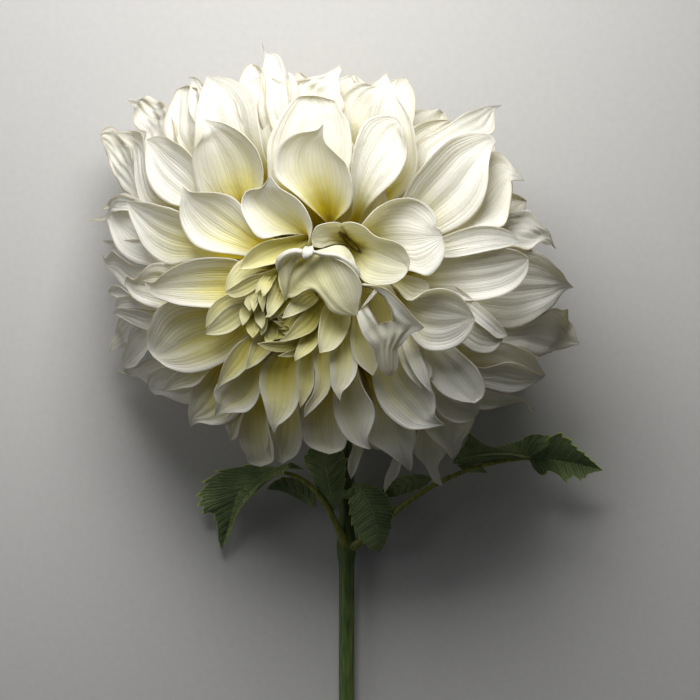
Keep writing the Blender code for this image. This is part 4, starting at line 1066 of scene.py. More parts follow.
def rule_midrib(root, tip, curl, inward, along):
    """Midrib of a petal between two points, a cubic Bezier curve from inside the base to the tip, and
    the directions across the petal and out of it at each point of the midrib."""
    chord = tip - root
    length = np.linalg.norm(chord)
    skin = unit(tip / np.array([BLOOM_SIDE, BLOOM_SIDE, BLOOM_FRONT]))
    from_axis = unit(tip - (tip @ FACING) * FACING)
    leaving = unit(unit(root) + ROOT_LEAN * chord / length)
    ending = unit(chord / length + (curl - TIP_DROOP) * skin)
    second = root + leaving * length * ROOT_PULL
    third = tip - ending * length * TIP_PULL
    left = 1 - along
    centre = left**3 * root + 3 * left**2 * along * second
    centre = centre + 3 * left * along**2 * third + along**3 * tip
    ahead = left**2 * (second - root) + 2 * left * along * (third - second)
    ahead = unit(ahead + along**2 * (tip - third))
    side = np.cross(chord, FACE_SHARE * FACING + skin - inward * from_axis)
    side = unit(side - (ahead @ side)[:, None] * ahead)
    return centre, side, np.cross(side, ahead)


def rule_petal(root, tip, width, rng, cup, curl, crease, rolls=(0.3, 0.3), inward=0.0):
    """Grid of a petal between two points. Across it the sheet's slope angle grows evenly from the
    midrib, and faster where the rims roll, and the sums of that angle's cosine and sine give how far
    out and up each point lies. Pleats, waves of the rims and creases go along the normal. Its width
    eases out, then closes to a point."""
    along = np.linspace(0, 1, RULE_ROWS + 1)[:, None]
    along = 1 - (1 - along) ** RULE_CROWDED_AT_TIP
    across = np.linspace(-1, 1, RULE_COLUMNS + 1)[None, :]
    centre, side, normal = rule_midrib(root, tip, curl, inward, along)
    widening = np.clip(along / WIDEST_AT, 0, 1)
    closing = np.clip((along - WIDEST_AT) / (1 - WIDEST_AT), 0, 1)
    half = ROOT_WIDTH + (1 - ROOT_WIDTH) * widening**2 * (3 - 2 * widening)
    half = half * ((1 - POINT_SHARE) * (1 - closing**2.4) ** 0.8 + POINT_SHARE * (1 - closing))
    half = half * width / 2
    turn = abs(cup) * (CUP_AT_ROOT - (CUP_AT_ROOT - 1) * widening + CUP_ADDED_AT_TIP * closing**3)
    roll = np.where(across < 0, rolls[0], rolls[1]) * rolled_share(across)
    roll = roll * np.sin(math.pi * np.clip(along, 0, ROLL_KEPT_FROM)) ** 0.5
    angle = (turn * across + np.sign(across) * roll) * math.copysign(1, cup)
    step = across[0, 1] - across[0, 0]
    out, up = running_sum(np.cos(angle), step), running_sum(np.sin(angle), step)
    stretch = half / abs(out).max(axis=1, keepdims=True)
    out, up = out * stretch, up * stretch
    inside = np.sin(math.pi * np.clip(along, 0, 1)) ** 0.7
    pleats = np.cos(math.pi * RULE_PLEATS * across + rng.uniform(*RULE_PLEAT_SHIFT))
    up = up + RULE_PLEAT_DEPTH * pleats * inside * (1 - across**4)
    waves = np.sin(RULE_RIM_WAVES * along + rng.uniform(*ANY_PHASE) + WAVE_SLANT * across)
    up = up + width * RIM_WAVE * abs(across) ** 2.5 * waves * along
    creased = creases(along, across, rng, RULE_CREASE_WAVES)
    up = up + width * CREASE_DEPTH * crease * creased * along**1.5
    out = out * (1 + RULE_JAG * crease * creases(along, across, rng, RULE_JAG_WAVES) * along)
    return centre[:, None] + out[..., None] * side[:, None] + up[..., None] * normal[:, None]


def bud_petals():
    """Grids of the smallest petals, in golden angles round the bloom's axis."""
    rng = np.random.default_rng(14)
    surfaces = []
    for i in range(BUD_PETALS):
        share = i / (BUD_PETALS - 1)
        polar = BUD_TO * (BUD_FROM_SHARE + (1 - BUD_FROM_SHARE) * share)
        reach = np.interp(share, (0, 1), BUD_REACH)
        width = np.interp(share, (0, 1), BUD_WIDTH)
        root = ROOT_REACH * on_sphere(polar, i * GOLDEN_ANGLE)
        tip = reach * on_sphere(polar * BUD_CLOSING, i * GOLDEN_ANGLE)
        surfaces.append(rule_petal(root, tip, width, rng, **BUD_SHAPE) + BLOOM_CENTRE)
    return surfaces, [0.0] * len(surfaces)


heart = sheets_object("heart", *traced_petals(HEART_PETALS, seed=14), PETAL_THICKNESS, petal_cream)
petal_young = petal_material("petal_young", (
    (0.30, (0.52, 0.46, 0.01)),
    (0.50, (0.72, 0.65, 0.05)),
    (0.62, (0.84, 0.79, 0.24)),
), paling=0.05, relief=0.4)
bud = sheets_object("bud", *bud_petals(), PETAL_THICKNESS, petal_young)
for piece in (heart, bud):
    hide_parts("bloom")
    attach(piece, "root")

BASE_RINGS = 40
BASE_SIDES = 72
BASE_BUMPS = (24, 18)
BASE_BUMP = 0.02
BASE_DARK = (0.30, 0.30, 0.05)
BASE_LIGHT = (0.60, 0.58, 0.16)


def round_grid_faces(rings, sides):
    """Faces of a closed surface of rings round a line, with a pole at either end."""
    grid = 1 + np.arange(rings * sides).reshape(rings, sides)
    after = np.roll(grid, -1, axis=1)
    quads = np.stack([grid[:-1], after[:-1], after[1:], grid[1:]], -1).reshape(-1, 4)
    first = np.stack([np.zeros(sides, int), after[0], grid[0]], -1)
    last = np.stack([np.full(sides, 1 + rings * sides), grid[-1], after[-1]], -1)
    return quads.tolist() + first.tolist() + last.tolist()


def base_material():
    """Green-yellow flesh of the base, mottled from dark to light."""
    made, tree, skin = new_material("flower_base")
    mottled = noise(tree, object_place(tree), 260.0, 4.0)
    feed(tree, skin.inputs["Base Color"], add_ramp(tree, mottled, ((0.3, BASE_DARK), (0.7, BASE_LIGHT))))
    feed(tree, skin.inputs["Normal"], raised(tree, mottled, 0.5, SKIN_HEIGHT))
    feed(tree, skin.inputs["Roughness"], 0.7)
    return made


def flower_base():
    """Ball of rings at even angles from the bloom's facing, its skin raised in small round bumps."""
    polar = np.linspace(0, math.pi, BASE_RINGS + 2)[1:-1, None]
    around = np.linspace(0, 2 * math.pi, BASE_SIDES, endpoint=False)[None, :]
    bumps = BASE_BUMP * np.sin(BASE_BUMPS[0] * polar) * np.sin(BASE_BUMPS[1] * around)
    radius = BASE_RADIUS * (1 + bumps)
    x = radius * np.sin(polar) * np.cos(around)
    y = radius * np.sin(polar) * np.sin(around)
    z = radius * np.cos(polar)
    points = x[..., None] * ACROSS + y[..., None] * ALONG + z[..., None] * FACING
    poles = BASE_RADIUS * FACING
    points = np.concatenate([[poles], points.reshape(-1, 3), [-poles]]) + BLOOM_CENTRE
    made = mesh_object("flower_base", points, round_grid_faces(BASE_RINGS, BASE_SIDES), base_material())
    made.data.flip_normals()
    return made


base = flower_base()
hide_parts("bloom")
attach(base, "root")

# Back petals
# The layers under the rim of the face and behind it, which fold back towards the stem. Those that reach
# the floor lie pressed flat on it, and they leave room for the stem, the calyx and the leaves.

BACK_PETALS = 88
BACK_ANGLES = np.radians([62, 88, 108, 156])
BACK_REACHES = (0.076, 0.092, 0.098, 0.090)
BACK_REACH_SPREAD = (0.95, 1.03)
BACK_ROOT_SHARE = 0.84
BACK_WIDTH = (0.028, 0.036)
BACK_CREASE = (0.2, 0.8)
BACK_CUP = 0.7
BACK_CURL = -0.4
BACK_SEEDS = 100
PRESSED_CUP = 0.3
PRESSED_LIFT = (0.0005, 0.006)
TURNS_ASIDE = [math.radians(turn) for turn in (0, 8, -8, 16, -16, 24, -24, 32, -32)]
STEM_RADIUS = 0.0038
STEM_ROOM = 0.0065
CALYX_TOP = 0.033
CALYX_LENGTH = 0.011
CALYX_MIDDLE = BLOOM_CENTRE - FACING * (CALYX_TOP + CALYX_LENGTH / 2)
CALYX_ROOM = 0.0200
LEAF_ROOM = 0.003
STEM_X = BLOOM_CENTRE[0] + 0.0060
STEM_END_Y = -0.182
NECK_Y = BLOOM_CENTRE[1] - 0.030
NECK_Z = 0.0125
NECK_START = 0.002
NECK_PULLS = (0.018, 0.026)
NECK_POINTS = 40
RUN_POINTS = 160
CUT_END_Z = 0.0040
JOIN_GAP = 0.0003


def bezier(points, count):
    """Places along the Bezier curve of these control points: between each two the same share of the
    way, and again between those, down to one."""
    share = np.linspace(0, 1, count)[:, None]
    layer = [np.repeat([point], count, axis=0) for point in points]
    while len(layer) > 1:
        layer = [(1 - share) * here + share * after for here, after in zip(layer, layer[1:])]
    return layer[0]


def stem_path():
    """Centreline of the stem: a bent neck behind the bloom, then a straight run to the cut end."""
    start = BLOOM_CENTRE - FACING * (CALYX_TOP + CALYX_LENGTH + 2 * JOIN_GAP)
    level = np.array([STEM_X, NECK_Y, NECK_Z])
    end = np.array([STEM_X, STEM_END_Y, CUT_END_Z])
    bent_to = level - unit(end - level) * NECK_PULLS[1]
    neck = (start - FACING * NECK_START, start - FACING * NECK_PULLS[0], bent_to, level)
    run = level + (end - level) * np.linspace(0, 1, RUN_POINTS)[1:, None]
    return np.concatenate([[start], bezier(neck, NECK_POINTS), run])


def is_clear(surface, path, leaves):
    """Whether a petal leaves room for the stem, the calyx and the boxes of the leaves."""
    from_stem = np.linalg.norm(surface[:, :, None] - path, axis=-1).min()
    from_calyx = np.linalg.norm(surface - CALYX_MIDDLE, axis=-1).min()
    in_leaves = [
        ((surface > np.array(low) - LEAF_ROOM) & (surface < np.array(high) + LEAF_ROOM)).all(-1).any()
        for low, high in leaves
    ]
    return from_stem > STEM_ROOM and from_calyx > CALYX_ROOM and not any(in_leaves)


def back_petals(path):
    """Grids of the back petals in golden angles, each turned aside until it is clear of the stem, the
    calyx and the leaves, and left out if no turn clears it."""
    rng = np.random.default_rng(15)
    leaves = [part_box("leaf_left"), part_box("leaf_right")]
    floor_level = PETAL_THICKNESS / 2 - BLOOM_CENTRE[2]
    surfaces, dryness = [], []
    for i in range(BACK_PETALS):
        share = (i + 0.5) / BACK_PETALS
        polar = BACK_ANGLES[0] + (BACK_ANGLES[-1] - BACK_ANGLES[0]) * share
        reach = np.interp(polar, BACK_ANGLES, BACK_REACHES) * rng.uniform(*BACK_REACH_SPREAD)
        width = rng.uniform(*BACK_WIDTH)
        lowest = floor_level + rng.uniform(*PRESSED_LIFT)
        crease = rng.uniform(*BACK_CREASE)
        for turn in TURNS_ASIDE:
            around = i * GOLDEN_ANGLE + turn
            tip = reach * on_sphere(polar, around)
            root = ROOT_REACH * on_sphere(polar * BACK_ROOT_SHARE, around)
            cup = BACK_CUP if tip[2] > lowest else PRESSED_CUP
            own = np.random.default_rng(BACK_SEEDS + i)
            surface = rule_petal(root, tip, width, own, cup, BACK_CURL, crease)
            surface[..., 2] = np.maximum(surface[..., 2], lowest)
            surface = surface + BLOOM_CENTRE
            if is_clear(surface, path, leaves):
                surfaces.append(surface)
                dryness.append(crease)
                break
    return surfaces, dryness


petal_back = petal_material("petal_back", (
    (0.25, (0.70, 0.60, 0.05)),
    (0.40, (0.90, 0.86, 0.42)),
    (0.52, (0.94, 0.93, 0.78)),
    (0.64, (0.96, 0.96, 0.94)),
))
path_of_stem = stem_path()
lower_petals = sheets_object("back_petals", *back_petals(path_of_stem), PETAL_THICKNESS, petal_back)
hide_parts("bloom")
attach(lower_petals, "root")

# Calyx
# The green cup behind the bloom, with a ring of short fleshy bracts bent back over it. It grows at the
# end of the stem.

CALYX_RADII = (0.0125, 0.0119, 0.0111, 0.0096, 0.0080, 0.0068, 0.0058, 0.0050, 0.0045)
CALYX_SIDES = 48
CALYX_FOLDS = 8
CALYX_FOLD_DEPTH = 0.04
BRACTS = 6
BRACT_WIDTH = 0.009
BRACT_THICKNESS = 0.0008
BRACT_ROOT = (CALYX_TOP + 0.009, math.radians(168))
BRACT_TIP = (CALYX_TOP + 0.010, math.radians(154))
BRACT_SHAPE = {"cup": -0.5, "curl": -0.2, "crease": 0.1, "rolls": (0.1, 0.1)}

# Tubes: the direction that their first ring is turned by, then the rim of a hollow end, as shares of
# the radius and metres along, and the share of the radius at the hollow's bottom
FIRST_SIDE = (0.3, 0.1, 1.0)
HOLLOW_RIM = ((0.72, 0.0), (0.62, -0.001))
HOLLOW_BOTTOM = 0.58


def round_angles(sides):
    """Even angles round a circle."""
    return np.arange(sides) * 2 * math.pi / sides


def tube_object(name, path, radii, ridges, material, hollow=0.0):
    """Closed tube: a ring of points about each point of the path, its radius times the ridges' pattern
    round it. Each ring keeps the last one's direction. The far end may be hollowed. The UV map runs
    round the tube and along it in metres."""
    sides = len(ridges)
    ahead = unit(np.gradient(path, axis=0))
    side = unit(np.cross(ahead[0], FIRST_SIDE))
    sides_of = []
    for way in ahead:
        side = unit(side - way * (side @ way))
        sides_of.append(side)
    sides_of = np.array(sides_of)[:, None]
    ahead = ahead[:, None]
    angles = round_angles(sides)[None, :, None]
    spokes = np.cos(angles) * sides_of + np.sin(angles) * np.cross(ahead, sides_of)
    rings = path[:, None] + (radii[:, None] * ridges)[..., None] * spokes
    end = path[-1]
    if hollow:
        inward = (*HOLLOW_RIM, (HOLLOW_BOTTOM, -hollow))
        extra = [end + radii[-1] * share * spokes[-1] + ahead[-1] * further for share, further in inward]
        rings = np.concatenate([rings, extra])
        end = end - ahead[-1, 0] * hollow
    points = np.concatenate([[path[0]], rings.reshape(-1, 3), [end]])
    made = mesh_object(name, points, round_grid_faces(len(rings), sides), material)
    lengths = np.linalg.norm(np.diff(rings.mean(1), axis=0), axis=-1)
    along = np.concatenate([[0], np.cumsum(lengths)])
    places = np.stack(np.broadcast_arrays(np.arange(sides)[None, :] / sides, along[:, None]), -1)
    map_blade(made.data, np.concatenate([[[0, 0]], places.reshape(-1, 2), [[0, along[-1]]]]))
    return made


def plant_skin_group():
    """Skin of a green stalk: lengthwise streaks from stretched noise in object space, and fine specks."""
    tree, given, result = new_group("plant_skin", ("Stretch",), ("Streak", "Speck"))
    place = object_place(tree)
    parts = add_node(tree, "ShaderNodeSeparateXYZ", {"Vector": place})
    where = add_node(tree, "ShaderNodeCombineXYZ", {
        "X": parts.outputs["X"],
        "Y": calculated(tree, "DIVIDE", parts.outputs["Y"], given.outputs["Stretch"]),
        "Z": parts.outputs["Z"],
    })
    feed(tree, result.inputs["Streak"], noise(tree, where.outputs[0], 900.0, 3.0))
    feed(tree, result.inputs["Speck"], noise(tree, place, 2400.0, 1.0))
    return tree


plant_skin = plant_skin_group()
STALK_STRETCH = 12.0
STALK_RELIEF = 0.0004


def stalk_material(name, dark, light, roughness):
    """Green stalk: streaked from dark to light, with fine specks, slightly glossy."""
    made, tree, skin = new_material(name)
    pattern = add_node(tree, "ShaderNodeGroup", {"Stretch": STALK_STRETCH}, node_tree=plant_skin)
    color = add_ramp(tree, pattern.outputs["Streak"], ((0.32, dark), (0.72, light)))
    specks = calculated(tree, "MULTIPLY_ADD", pattern.outputs["Speck"], 1.6, -0.5, clamp=True)
    feed(tree, skin.inputs["Base Color"], tinted(tree, color, specks, 0.25, light))
    feed(tree, skin.inputs["Normal"], raised(tree, pattern.outputs["Streak"], 0.5, STALK_RELIEF))
    feed(tree, skin.inputs["Roughness"], calculated(tree, "MULTIPLY_ADD", specks, 0.15, roughness))
    return made


calyx_green = stalk_material("calyx_green", (0.10, 0.17, 0.03), (0.26, 0.36, 0.10), roughness=0.45)


def calyx_cup():
    """The cup: folded rings behind the base whose radii shrink towards the stem's."""
    depths = CALYX_TOP + JOIN_GAP + np.linspace(0, CALYX_LENGTH, len(CALYX_RADII))
    path = BLOOM_CENTRE - FACING * depths[:, None]
    folds = 1 + CALYX_FOLD_DEPTH * np.cos(round_angles(CALYX_SIDES) * CALYX_FOLDS)
    return tube_object("calyx_cup", path, np.array(CALYX_RADII), folds, calyx_green)


def bracts():
    """Grids of the bracts, evenly round the cup."""
    rng = np.random.default_rng(16)
    surfaces = []
    for around in round_angles(BRACTS):
        root, tip = (reach * on_sphere(polar, around) for reach, polar in (BRACT_ROOT, BRACT_TIP))
        surfaces.append(rule_petal(root, tip, BRACT_WIDTH, rng, **BRACT_SHAPE) + BLOOM_CENTRE)
    return surfaces, [0.0] * BRACTS


for piece in (calyx_cup(), sheets_object("bracts", *bracts(), BRACT_THICKNESS, calyx_green)):
    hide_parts("calyx")
    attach(piece, "root")

# Stem
# The tough green stem, ridged lengthwise and swollen at the node where the leaves join. Its end is cut
# square and shows that it is hollow.

STEM_SIDES = 60
STEM_RIDGES = 5
RIDGE_DEPTH = 0.05
NODE_Y = -0.0655
NODE_LENGTH = 0.006
NODE_SWELL = 0.30
HOLLOW_DEPTH = 0.006

stem_green = stalk_material("stem_green", (0.030, 0.060, 0.012), (0.14, 0.20, 0.045), roughness=0.38)


def stem():
    """The stem's tube: ridges round it, and a smooth swelling at the node."""
    crests = abs(np.cos(STEM_RIDGES / 2 * round_angles(STEM_SIDES))) ** 3
    ridges = 1 + RIDGE_DEPTH * (2 * crests - 1)
    swelling = NODE_SWELL * np.exp(-(((path_of_stem[:, 1] - NODE_Y) / NODE_LENGTH) ** 2))
    radii = STEM_RADIUS * (1 + swelling)
    return tube_object("stem_tube", path_of_stem, radii, ridges, stem_green, HOLLOW_DEPTH)


stem_tube = stem()
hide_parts("stem")
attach(stem_tube, "root")

# Leaves
# Two compound leaves on grooved stalks that clasp the node. The leaflets are toothed, dark green with
# rims painted paler as a highlight, puckered between their side veins with painted light and shade
# along the puckers, and they hang by their own weight.

LEAF_ROWS_PER_TOOTH = 8
LEAF_COLUMNS = 32
LEAF_THICKNESS = 0.0004
TOOTH_DEPTH = 0.16
PUCKER = 0.0006
FINE_PUCKER = 0.4
PUCKER_MEAN = 0.7
LEAF_BASE_SHARE = 0.15
STALK_SHARES = (0, 0.12, 0.4, 1)
STALK_RADII = (0.0036, 0.0022, 0.0016, 0.0009)
STALK_POINTS = 60
STALK_SIDES = 24
GROOVE_SIDE = 6
GROOVE_WIDTH = 3.0
GROOVE_DEPTH = 0.12

# Each stalk: control points in millimetres from the middle of the floor
STALKS = {
    "leaf_left": ((-0.5, -67, 9), (-6, -54, 18), (-15, -30, 24), (-32, -28, 22)),
    "leaf_right": ((-0.5, -66, 9), (12, -62, 16), (34, -24, 28), (89, -20.5, 30)),
}

# Each leaflet, or the side of one that is folded over: base, then points of one edge, of the midrib and
# of the other edge, then the tip, in millimetres from the middle of the floor, its number of side
# veins, and how far they run crosswise, from 0 along the blade to 1 straight across it
LEAFLETS = {
    "leaf_left": (
        ((-31.5, -27, 25),
         ((-32, -23.5, 23), (-41, -23.3, 21), (-52, -24, 20), (-63, -25.8, 18), (-69.5, -28, 16),
          (-73.5, -32, 15), (-76, -37, 13), (-76.5, -44, 12), (-74, -49, 12), (-69.5, -48.5, 12),
          (-66.5, -55, 11), (-65.5, -62, 9)),
         ((-37, -29, 24), (-43, -31.5, 24), (-53, -38, 20), (-58, -48, 14), (-61.5, -59, 9)),
         ((-33.5, -28, 23), (-40, -30.8, 23), (-44, -33.5, 22), (-47.5, -37.5, 19), (-53.5, -45, 14),
          (-58, -52.5, 10), (-61.5, -61.5, 8)),
         (-63.5, -66.5, 7), 12, 0.38),
        ((-29, -24, 27),
         ((-33, -23.8, 26), (-42.6, -28.7, 25), (-49.8, -34, 23.5), (-55.1, -37.6, 21), (-57, -43.5, 17.5),
          (-59.3, -51.9, 13.5), (-61.7, -60.4, 10.5)),
         ((-32, -25.5, 26.5), (-41, -29.8, 26), (-48.2, -36, 24), (-53.5, -42, 20.5), (-57.5, -50.5, 15),
          (-61, -60, 11.5)),
         ((-31.5, -27.5, 28), (-40, -31.3, 28.5), (-44.5, -34.5, 27.5), (-47.8, -38.8, 26),
          (-54.5, -47.1, 21), (-59.9, -59, 14)),
         (-63.4, -66.4, 9), 12, 0.9),
        ((-31.5, -27, 25),
         ((-31, -24, 25), (-29.5, -22.5, 26)), ((-29, -24.5, 25), (-27.5, -24, 24)),
         ((-30, -25.5, 23), (-27, -26, 23)), (-22.5, -26, 23), 4, 0.7),
        ((-16, -45, 14),
         ((-18, -36, 14), (-24.5, -31, 14), (-32, -29.5, 13), (-38, -32.5, 11)),
         ((-22, -40, 14), (-31, -36, 12)),
         ((-19.5, -45, 12), (-26, -41, 11), (-34, -37.5, 10)),
         (-41, -36.2, 9), 7, 0.7),
        ((-8, -47, 18),
         ((-15.5, -37, 20), (-20.5, -27, 21), (-23.5, -21, 22), (-20.5, -16, 23)),
         ((-9.5, -37, 22), (-12, -25, 24)),
         ((-3, -41, 20), (-1.5, -33, 21), (-1, -25, 22), (-0.5, -19.5, 23), (-4, -16, 24)),
         (-14, -13.5, 24), 8, 0.75),
        ((-5, -40, 20),
         ((-2, -37, 20), (4, -34.5, 20)), ((0, -38.5, 21), (6, -37, 20)),
         ((0, -41, 19), (6, -39.5, 18)), (12.5, -36, 18), 5, 0.75),
    ),
    "leaf_right": (
        ((88.5, -20, 31),
         ((93.5, -18, 32), (97.5, -12, 35), (101, -8.3, 37), (104, -7, 38), (108, -8.8, 38),
          (111.5, -13, 37), (118.5, -19.5, 34)),
         ((98, -21, 26), (110.5, -22.5, 26), (119.5, -24.5, 28)),
         ((90.5, -23.5, 28), (93, -28, 27), (96, -30, 26), (99.5, -27.8, 26), (103.5, -29, 26),
          (108, -33, 25), (111.5, -30, 26), (115.5, -32, 26), (119.5, -28.5, 28)),
         (125.5, -26.5, 30), 9, 0.6),
        ((90.5, -20.3, 34),
         ((98, -15, 35), (100, -9, 34), (96, -7, 33), (90.5, -8, 32), (84.5, -11, 32), (78, -13.5, 32),
          (71.5, -15, 32), (66, -13.5, 31), (62, -10, 30), (59, -7.5, 30), (57.5, -12, 30),
          (55, -16.5, 30)),
         ((80, -17, 35), (67, -17, 35), (58.5, -18.5, 34)),
         ((86.5, -19.5, 36), (81.5, -18.3, 36), (73, -18, 36), (64.5, -18.8, 35), (57, -20.8, 33)),
         (51.5, -22.5, 30), 10, 0.5),
        ((88, -20.5, 31),
         ((78, -18.5, 33), (65.5, -19, 33), (56.5, -20.5, 31)),
         ((76, -20.5, 31), (63, -21.5, 30)),
         ((78, -21.5, 28), (68, -23, 26), (58, -24, 26)),
         (51.5, -23, 28), 8, 0.6),
        ((53.5, -24, 28),
         ((60, -23.5, 28), (66, -25, 28)), ((60, -25.3, 28), (65, -26.5, 28)),
         ((58, -27.3, 25), (64, -27.8, 26)), (68.5, -28, 27), 5, 0.7),
        ((41.5, -30.5, 22),
         ((35.5, -28.5, 21), (28, -29, 20), (20.5, -32, 18)), ((35, -31.5, 21), (25, -35, 19)),
         ((37.5, -35, 19), (28, -39, 17), (20.5, -40.5, 16)), (14.5, -39, 16), 7, 0.7),
        ((2, -33, 19),
         ((0.8, -37, 19), (-0.5, -44, 19), (0.5, -52, 18), (3.5, -59, 17), (9, -65, 13)),
         ((6, -37, 22), (11, -46, 23), (14, -57, 20)),
         ((9.5, -33.5, 22), (17.5, -37, 22), (22, -43.5, 22), (22, -53, 20), (19, -62, 15)),
         (15, -68, 10), 9, 0.75),
    ),
}

LEAF_DARK = (0.048, 0.092, 0.018)
LEAF_LIGHT = (0.330, 0.420, 0.160)
NET_TINT = (0.17, 0.22, 0.09)
LEAF_VEIN_TINT = (0.36, 0.44, 0.20)
# Colour of the rims' painted highlight, and where across the blade it starts and is full
LEAF_RIM_HIGHLIGHT = (0.55, 0.68, 0.09)
RIM_FROM = 0.93
RIM_TO = 0.97
LEAF_RELIEF = 0.0005


def leaf_material():
    """Leaf blade: dark green, paler along the midrib and the side veins, which the UV map places at
    whole numbers along it, with finer stripes between them, a net of cells and yellow-green rims. The
    stripes are painted light and shade of the puckers, and the rims a painted highlight."""
    made, tree, skin = new_material("leaf_green")
    from_midrib, veins_passed = blade_place(tree)
    off_midrib = calculated(tree, "ABSOLUTE", from_midrib)
    place = object_place(tree)
    tone = noise(tree, place, 60.0, 4.0)
    veined = calculated(tree, "MULTIPLY_ADD", tone, 1.5, veins_passed)
    off_vein = calculated(tree, "PINGPONG", veined, 0.5)
    midrib = calculated(tree, "SUBTRACT", 1.0, calculated(tree, "MULTIPLY", off_midrib, 16.0), clamp=True)
    side_vein = calculated(tree, "SUBTRACT", 1.0, calculated(tree, "MULTIPLY", off_vein, 11.0), clamp=True)
    side_vein = calculated(tree, "MULTIPLY", side_vein, calculated(tree, "SUBTRACT", 1.1, off_midrib))
    veins = calculated(tree, "MAXIMUM", midrib, side_vein)
    cells = add_node(
        tree, "ShaderNodeTexVoronoi", {"Vector": place, "Scale": 700.0}, feature="DISTANCE_TO_EDGE"
    )
    within = calculated(tree, "MULTIPLY", cells.outputs["Distance"], 9.0)
    net = calculated(tree, "SUBTRACT", 1.0, within, clamp=True)
    # The fine stripes lighten and darken the colour between the side veins: painted light and shade of the
    # puckers.
    fine = calculated(tree, "PINGPONG", calculated(tree, "MULTIPLY", veined, 3.0), 0.5)
    shade = calculated(tree, "MULTIPLY_ADD", fine, 0.35, calculated(tree, "MULTIPLY", tone, 0.82))
    color = add_ramp(tree, shade, ((0.3, LEAF_DARK), (0.7, LEAF_LIGHT)))
    color = tinted(tree, color, net, 0.30, NET_TINT)
    color = tinted(tree, color, veins, 0.45, LEAF_VEIN_TINT)
    # The rims are painted paler yellow-green as a highlight where the edges catch the light.
    rim = add_node(tree, "ShaderNodeMapRange", {
        "Value": off_midrib, "From Min": RIM_FROM, "From Max": RIM_TO,
    })
    color = mixed(tree, rim.outputs["Result"], color, LEAF_RIM_HIGHLIGHT)
    height = calculated(tree, "MULTIPLY_ADD", net, -0.3, calculated(tree, "MULTIPLY", veins, -1.0))
    height = calculated(tree, "ADD", height, fine)
    feed(tree, skin.inputs["Base Color"], color)
    feed(tree, skin.inputs["Roughness"], calculated(tree, "MULTIPLY_ADD", tone, 0.25, 0.22))
    feed(tree, skin.inputs["Normal"], raised(tree, height, 0.9, LEAF_RELIEF))
    return made


def leaflet_surface(base, left, midrib, right, tip, veins, crosswise):
    """Grid of a leaflet through its two edges and its midrib. Either half runs from the midrib to its
    edge, in rows that slant forward as the side veins do, less a saw-toothed share of the width. The
    blade bulges up between the veins and less so between the finer ones."""
    along = np.linspace(0, 1, LEAF_ROWS_PER_TOOTH * veins + 1)
    base, tip = np.array(base), np.array(tip)
    middle = smooth_curve(np.array([base, *midrib, tip]) * MM, along)[:, None]
    edges = []
    for points in (left, right):
        start = base + LEAF_BASE_SHARE * (np.array(points[0]) - base)
        edges.append(smooth_curve(np.array([start, *points, tip]) * MM, along**crosswise)[:, None])
    along, across = along[:, None], np.linspace(-1, 1, LEAF_COLUMNS + 1)[None, :]
    edge = np.where(across[..., None] < 0, edges[0], edges[1])
    tooth = (along * veins + 0.5) % 1.0
    share = abs(across) * (1 - TOOTH_DEPTH * (1 - tooth) * abs(across) ** 6)
    surface = middle + (edge - middle) * share[..., None]
    bulge = abs(np.sin(math.pi * along * veins))
    bulge = bulge + FINE_PUCKER * abs(np.sin(3 * math.pi * along * veins)) - PUCKER_MEAN
    raised_by = PUCKER * bulge * np.sin(math.pi * abs(across) ** 0.8)
    surface[..., 2] += raised_by * np.sin(math.pi * along) ** 0.5
    return surface


def leaflet_object(name, surface, veins):
    """A thin blade from a leaflet's grid. Its UV map gives the share of the width from the midrib, and
    along it the count of side veins."""
    made = sheets_object(name, [surface], [0.0], LEAF_THICKNESS, leaf_green)
    layer = made.data.uv_layers["blade"].data
    places = np.empty(2 * len(layer))
    layer.foreach_get("uv", places)
    places = places.reshape(-1, 2)
    places = np.stack([places[:, 0] * 2 - 1, places[:, 1] * veins], -1)
    layer.foreach_set("uv", places.ravel())
    return made


def leaf_stalk(name, points):
    """A leaf's stalk, thinner towards its far end, with a shallow groove along one side."""
    path = bezier(np.array(points) * MM, STALK_POINTS)
    radii = np.interp(np.linspace(0, 1, STALK_POINTS), STALK_SHARES, STALK_RADII)
    sides = np.arange(STALK_SIDES)
    groove = 1 - GROOVE_DEPTH * np.exp(-(((sides - GROOVE_SIDE) / GROOVE_WIDTH) ** 2))
    return tube_object(f"{name}_stalk", path, radii, groove, stalk_green)


leaf_green = leaf_material()
stalk_green = stalk_material("stalk_green", (0.11, 0.12, 0.018), (0.32, 0.34, 0.045), roughness=0.40)
for name, stalk in STALKS.items():
    pieces = [leaf_stalk(name, stalk)]
    for number, leaflet in enumerate(LEAFLETS[name]):
        pieces.append(leaflet_object(f"{name}_{number + 1}", leaflet_surface(*leaflet), leaflet[-2]))
    for piece in pieces:
        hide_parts(name)
        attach(piece, "root")

# Floor, light and camera
# A plain pale floor, one large soft light from beyond the bloom's top and a weak one from the left. The
# camera looks straight down from far off, as the photograph looks at the bloom's face.

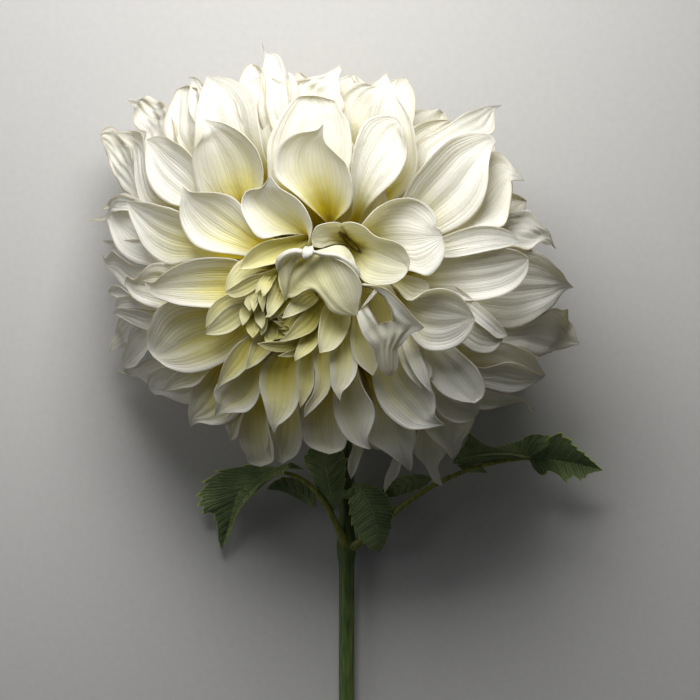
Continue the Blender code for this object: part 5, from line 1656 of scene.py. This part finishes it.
FLOOR_SIZE = 6.0
FLOOR_DARK = (0.52, 0.51, 0.49)
FLOOR_LIGHT = (0.58, 0.57, 0.55)
ROOM_COLOR = (0.9, 0.95, 1.0, 1.0)
ROOM_STRENGTH = 0.06
CAMERA_HEIGHT = 3.0
CAMERA_SEES = 20.0
SENSOR_WIDTH = 36.0
PICTURE_WIDTH = 0.350
PICTURE_CENTRE = (BLOOM_CENTRE[0] + 0.0075, BLOOM_CENTRE[1] - 0.039)

# Each light: place, side of its square, power in watts and colour. All are turned to one point
LIGHTS = {
    "key": ((-0.05, 0.37, 0.40), 0.30, 3.1, (1.0, 1.0, 1.0)),
    "fill": ((-0.90, 0.25, 0.60), 0.60, 1.3, (0.96, 0.97, 1.0)),
}
LIT_POINT = (0.0, 0.05, 0.05)


def floor_material():
    """Matt pale floor with the faintest grain."""
    made, tree, skin = new_material("floor")
    grain = noise(tree, object_place(tree), 300.0, 3.0)
    feed(tree, skin.inputs["Base Color"], add_ramp(tree, grain, ((0.0, FLOOR_DARK), (1.0, FLOOR_LIGHT))))
    feed(tree, skin.inputs["Roughness"], 0.9)
    return made


def floor():
    """A square on the level that the flower lies on."""
    corners = FLOOR_SIZE / 2 * np.array([(-1, -1, 0), (1, -1, 0), (1, 1, 0), (-1, 1, 0)])
    made = mesh_object("floor", corners, [(0, 1, 2, 3)], floor_material())


def soft_light(name, place, size, power, color):
    """A square area light at a place, turned to the lit point."""
    lamp = bpy.data.lights.new(name, "AREA")
    lamp.size = size
    lamp.energy = power
    lamp.color = color
    made = scene_object(name, lamp)
    made.location = place
    made.rotation_euler = (Vector(LIT_POINT) - Vector(place)).to_track_quat("-Z", "Y").to_euler()


floor()
for name, settings in LIGHTS.items():
    soft_light(name, *settings)

world = bpy.data.worlds.new("room")
world.use_nodes = True
world.node_tree.nodes["Background"].inputs["Color"].default_value = ROOM_COLOR
world.node_tree.nodes["Background"].inputs["Strength"].default_value = ROOM_STRENGTH
bpy.context.scene.world = world

lens = bpy.data.cameras.new("camera")
lens.sensor_width = SENSOR_WIDTH
lens.lens = SENSOR_WIDTH * CAMERA_HEIGHT / PICTURE_WIDTH
lens.clip_end = CAMERA_SEES
camera = scene_object("camera", lens)
camera.location = (*PICTURE_CENTRE, CAMERA_HEIGHT)
bpy.context.scene.camera = camera
bpy.context.scene.view_settings.view_transform = "Standard"
